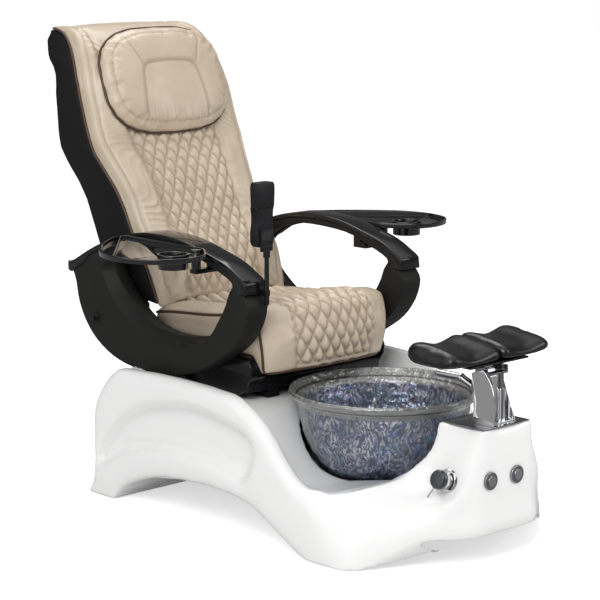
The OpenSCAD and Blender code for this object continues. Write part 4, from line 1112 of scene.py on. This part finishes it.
def make_stage(s, m):
    """A white studio: the floor and room look darker in mirrors, which shows the black parts' forms."""
    scene = bpy.context.scene
    deselect()
    bpy.ops.mesh.primitive_plane_add(size=40, location=(0, 0, -0.0005))
    floor = bpy.context.object
    floor.name = "studio_floor"
    mat, t, shader = new_material("Studio floor")
    grey = (0.86, 0.86, 0.86, 1)
    set_inputs(shader, {"Base Color": grey, "Roughness": 0.9, "Specular IOR Level": 0.1})
    out = t.tree.nodes["Material Output"]
    seen, glossy = ray_kinds(t)
    white = (1, 1, 1, 1)
    lit = t.math("MULTIPLY", seen, 0.55)
    glow = t.add("ShaderNodeEmission", {"Color": white, "Strength": lit})
    both = t.add("ShaderNodeAddShader", {0: shader.outputs[0], 1: glow.outputs[0]})
    dull = t.add("ShaderNodeEmission", {"Color": white, "Strength": s.mirrored_floor})
    shown = t.add("ShaderNodeMixShader", {0: glossy, 1: both.outputs[0], 2: dull.outputs[0]})
    t.tree.links.new(shown.outputs[0], out.inputs["Surface"])
    floor.data.materials.append(mat)

    world = bpy.data.worlds.new("Studio")
    scene.world = world
    world.use_nodes = True
    w = Tree(world.node_tree)
    back = w.tree.nodes["Background"]
    seen, glossy = ray_kinds(w)
    back.inputs["Color"].default_value = white
    even = w.math("ADD", w.math("MULTIPLY", seen, 1 - s.room_light), s.room_light)
    way = w.add("ShaderNodeTexCoord").outputs["Generated"]
    side = {0: way, 1: (-0.93, -0.05, 0.35)}
    beside_it = w.add("ShaderNodeVectorMath", side, operation="DOT_PRODUCT").outputs["Value"]
    up = w.add("ShaderNodeSeparateXYZ", {0: way}).outputs[2]
    boxes = w.math("MAXIMUM", w.span(beside_it, 0.55, 0.85), w.span(up, 0.6, 0.85))
    dark = w.math("MULTIPLY", w.math("SUBTRACT", 1.0, boxes), s.dark_room)
    mirrored = w.math("MULTIPLY", w.math("SUBTRACT", 1.0, dark), glossy)
    plain = w.math("MULTIPLY", even, w.math("SUBTRACT", 1.0, glossy))
    w.tree.links.new(w.math("ADD", plain, mirrored), back.inputs["Strength"])

    for name, at, aim, size, power in LAMPS:
        bpy.ops.object.light_add(type="AREA", location=at)
        lamp = bpy.context.object
        lamp.name = name
        lamp.data.size = size
        lamp.data.energy = power * s.lamp_power
        lamp.rotation_euler = (Vector(aim) - Vector(at)).to_track_quat("-Z", "Y").to_euler()

    bpy.ops.object.camera_add(location=CAMERA_AT, rotation=CAMERA_TURN)
    camera = bpy.context.object
    camera.data.sensor_width = 36
    camera.data.lens = CAMERA_LENS
    scene.camera = camera
    scene.view_settings.view_transform = "Standard"


# ---- Add-on ---------------------------------------------------------------------------------


def setting(make, name, about, default, low, high, **kind):
    return make(name=name, description=about, default=default, min=low, max=high, **kind)


def length(name, about, default, low, high):
    return setting(FloatProperty, name, about, default, low, high, unit="LENGTH")


def factor(name, about, default, high=1):
    return setting(FloatProperty, name, about, default, 0, high, subtype="FACTOR")


def colour(name, about, default):
    return setting(FloatVectorProperty, name, about, default, 0, 1, subtype="COLOR")


class ChairSettings(bpy.types.PropertyGroup):
    """Sizes and colours of the chair."""

    base_colour: colour("Base colour", "Colour of the glossy base moulding", (0.9, 0.9, 0.895))
    leather_colour: colour("Leather colour", "Colour of the seat, back and pillow", (0.61, 0.51, 0.395))
    # The leather's darker tone, for its mottle and for the painted shade in its sewn creases and quilt
    # valleys.
    mottle_and_crease_shade_colour: colour("Seam colour", "Colour in the leather's sewn creases", (0.33, 0.25, 0.17))
    piping_colour: colour("Piping colour", "Colour of the cord round the cushions", (0.075, 0.038, 0.02))
    piping: length("Piping", "Diameter of the piping", 0.0085, 0.003, 0.012)
    diamond_width: length("Diamond width", "Width of a quilted diamond", 0.043, 0.03, 0.08)
    diamond_height: length("Diamond height", "Length of a quilted diamond", 0.07, 0.03, 0.1)
    tuck: length("Tuck", "How far the back's lower edge presses into the seat", 0.018, 0, 0.02)
    tuft: length("Tuft", "Height of a quilted diamond", 0.012, 0.002, 0.012)
    seat_width: length("Seat width", "Width over the seat cushion", 0.53, 0.5, 0.54)
    seat_panel_width: length("Seat panel width", "Width of the seat's quilted panel", 0.33, 0.2, 0.45)
    back_panel_width: length("Back panel width", "Width of the back's quilted panel", 0.3, 0.2, 0.4)
    glass_thickness: length("Glass thickness", "Wall thickness of the foot bowl", 0.009, 0.006, 0.011)
    room_light: factor("Room light", "Strength of the even light of the room", 0.62)
    mirrored_floor: factor("Mirrored floor", "Brightness of the floor in mirrors", 0.3)
    dark_room: factor("Dark room", "How much darker the room is in mirrors than its soft boxes", 0.88)
    lamp_power: factor("Lamp power", "Strength of the studio lamps", 1.0, 4)


MATERIALS = {}


def run(context, make):
    """Makes one part of the scene with the chair's settings and materials."""
    settings = context.scene.spa_chair
    if not MATERIALS:
        MATERIALS.update(make_materials(settings))
    make(settings, MATERIALS)
    return {"FINISHED"}


class SPACHAIR_OT_stage(bpy.types.Operator):
    """Set the floor, lamps and camera"""

    bl_idname = "spa_chair.stage"
    bl_label = "Stage"

    def execute(self, context):
        return run(context, make_stage)


class SPACHAIR_OT_hard_parts(bpy.types.Operator):
    """Round the edges of the hard parts and give them their finishes"""

    bl_idname = "spa_chair.hard_parts"
    bl_label = "Hard parts"

    def execute(self, context):
        return run(context, make_hard_parts)


class SPACHAIR_OT_base(bpy.types.Operator):
    """Make the one-piece base moulding with its soft edges"""

    bl_idname = "spa_chair.base"
    bl_label = "Base moulding"

    def execute(self, context):
        return run(context, make_base)


class SPACHAIR_OT_bowl(bpy.types.Operator):
    """Spin the hammered glass foot bowl"""

    bl_idname = "spa_chair.bowl"
    bl_label = "Foot bowl"

    def execute(self, context):
        return run(context, make_bowl)


class SPACHAIR_OT_seat(bpy.types.Operator):
    """Pad, quilt and pipe the seat cushion"""

    bl_idname = "spa_chair.seat"
    bl_label = "Seat cushion"

    def execute(self, context):
        return run(context, make_seat)


class SPACHAIR_OT_back(bpy.types.Operator):
    """Pad, quilt and pipe the back cushion"""

    bl_idname = "spa_chair.back"
    bl_label = "Back cushion"

    def execute(self, context):
        return run(context, make_back)


class SPACHAIR_OT_pillow(bpy.types.Operator):
    """Pad and sew the head pillow"""

    bl_idname = "spa_chair.pillow"
    bl_label = "Head pillow"

    def execute(self, context):
        return run(context, make_pillow)


class SPACHAIR_OT_footrest(bpy.types.Operator):
    """Pad the two halves of the footrest"""

    bl_idname = "spa_chair.footrest"
    bl_label = "Footrest pads"

    def execute(self, context):
        return run(context, make_footrest)


OPERATORS = (SPACHAIR_OT_stage, SPACHAIR_OT_hard_parts, SPACHAIR_OT_base, SPACHAIR_OT_bowl,
             SPACHAIR_OT_seat, SPACHAIR_OT_back, SPACHAIR_OT_pillow, SPACHAIR_OT_footrest)


class SPACHAIR_PT_panel(bpy.types.Panel):
    """Lists the chair's pieces and sizes"""

    bl_label = "Spa Chair"
    bl_idname = "SPACHAIR_PT_panel"
    bl_space_type = "VIEW_3D"
    bl_region_type = "UI"
    bl_category = "Spa Chair"

    def draw(self, context):
        for op in OPERATORS:
            self.layout.operator(op.bl_idname)
        for key in ChairSettings.__annotations__:
            self.layout.prop(context.scene.spa_chair, key)


CLASSES = (ChairSettings, *OPERATORS, SPACHAIR_PT_panel)


def register():
    for c in CLASSES:
        bpy.utils.register_class(c)
    bpy.types.Scene.spa_chair = PointerProperty(type=ChairSettings)


def unregister():
    del bpy.types.Scene.spa_chair
    for c in reversed(CLASSES):
        bpy.utils.unregister_class(c)


def main():
    register()
    for op in OPERATORS:
        group, name = op.bl_idname.split(".")
        getattr(getattr(bpy.ops, group), name)()


if __name__ == "__main__":
    main()
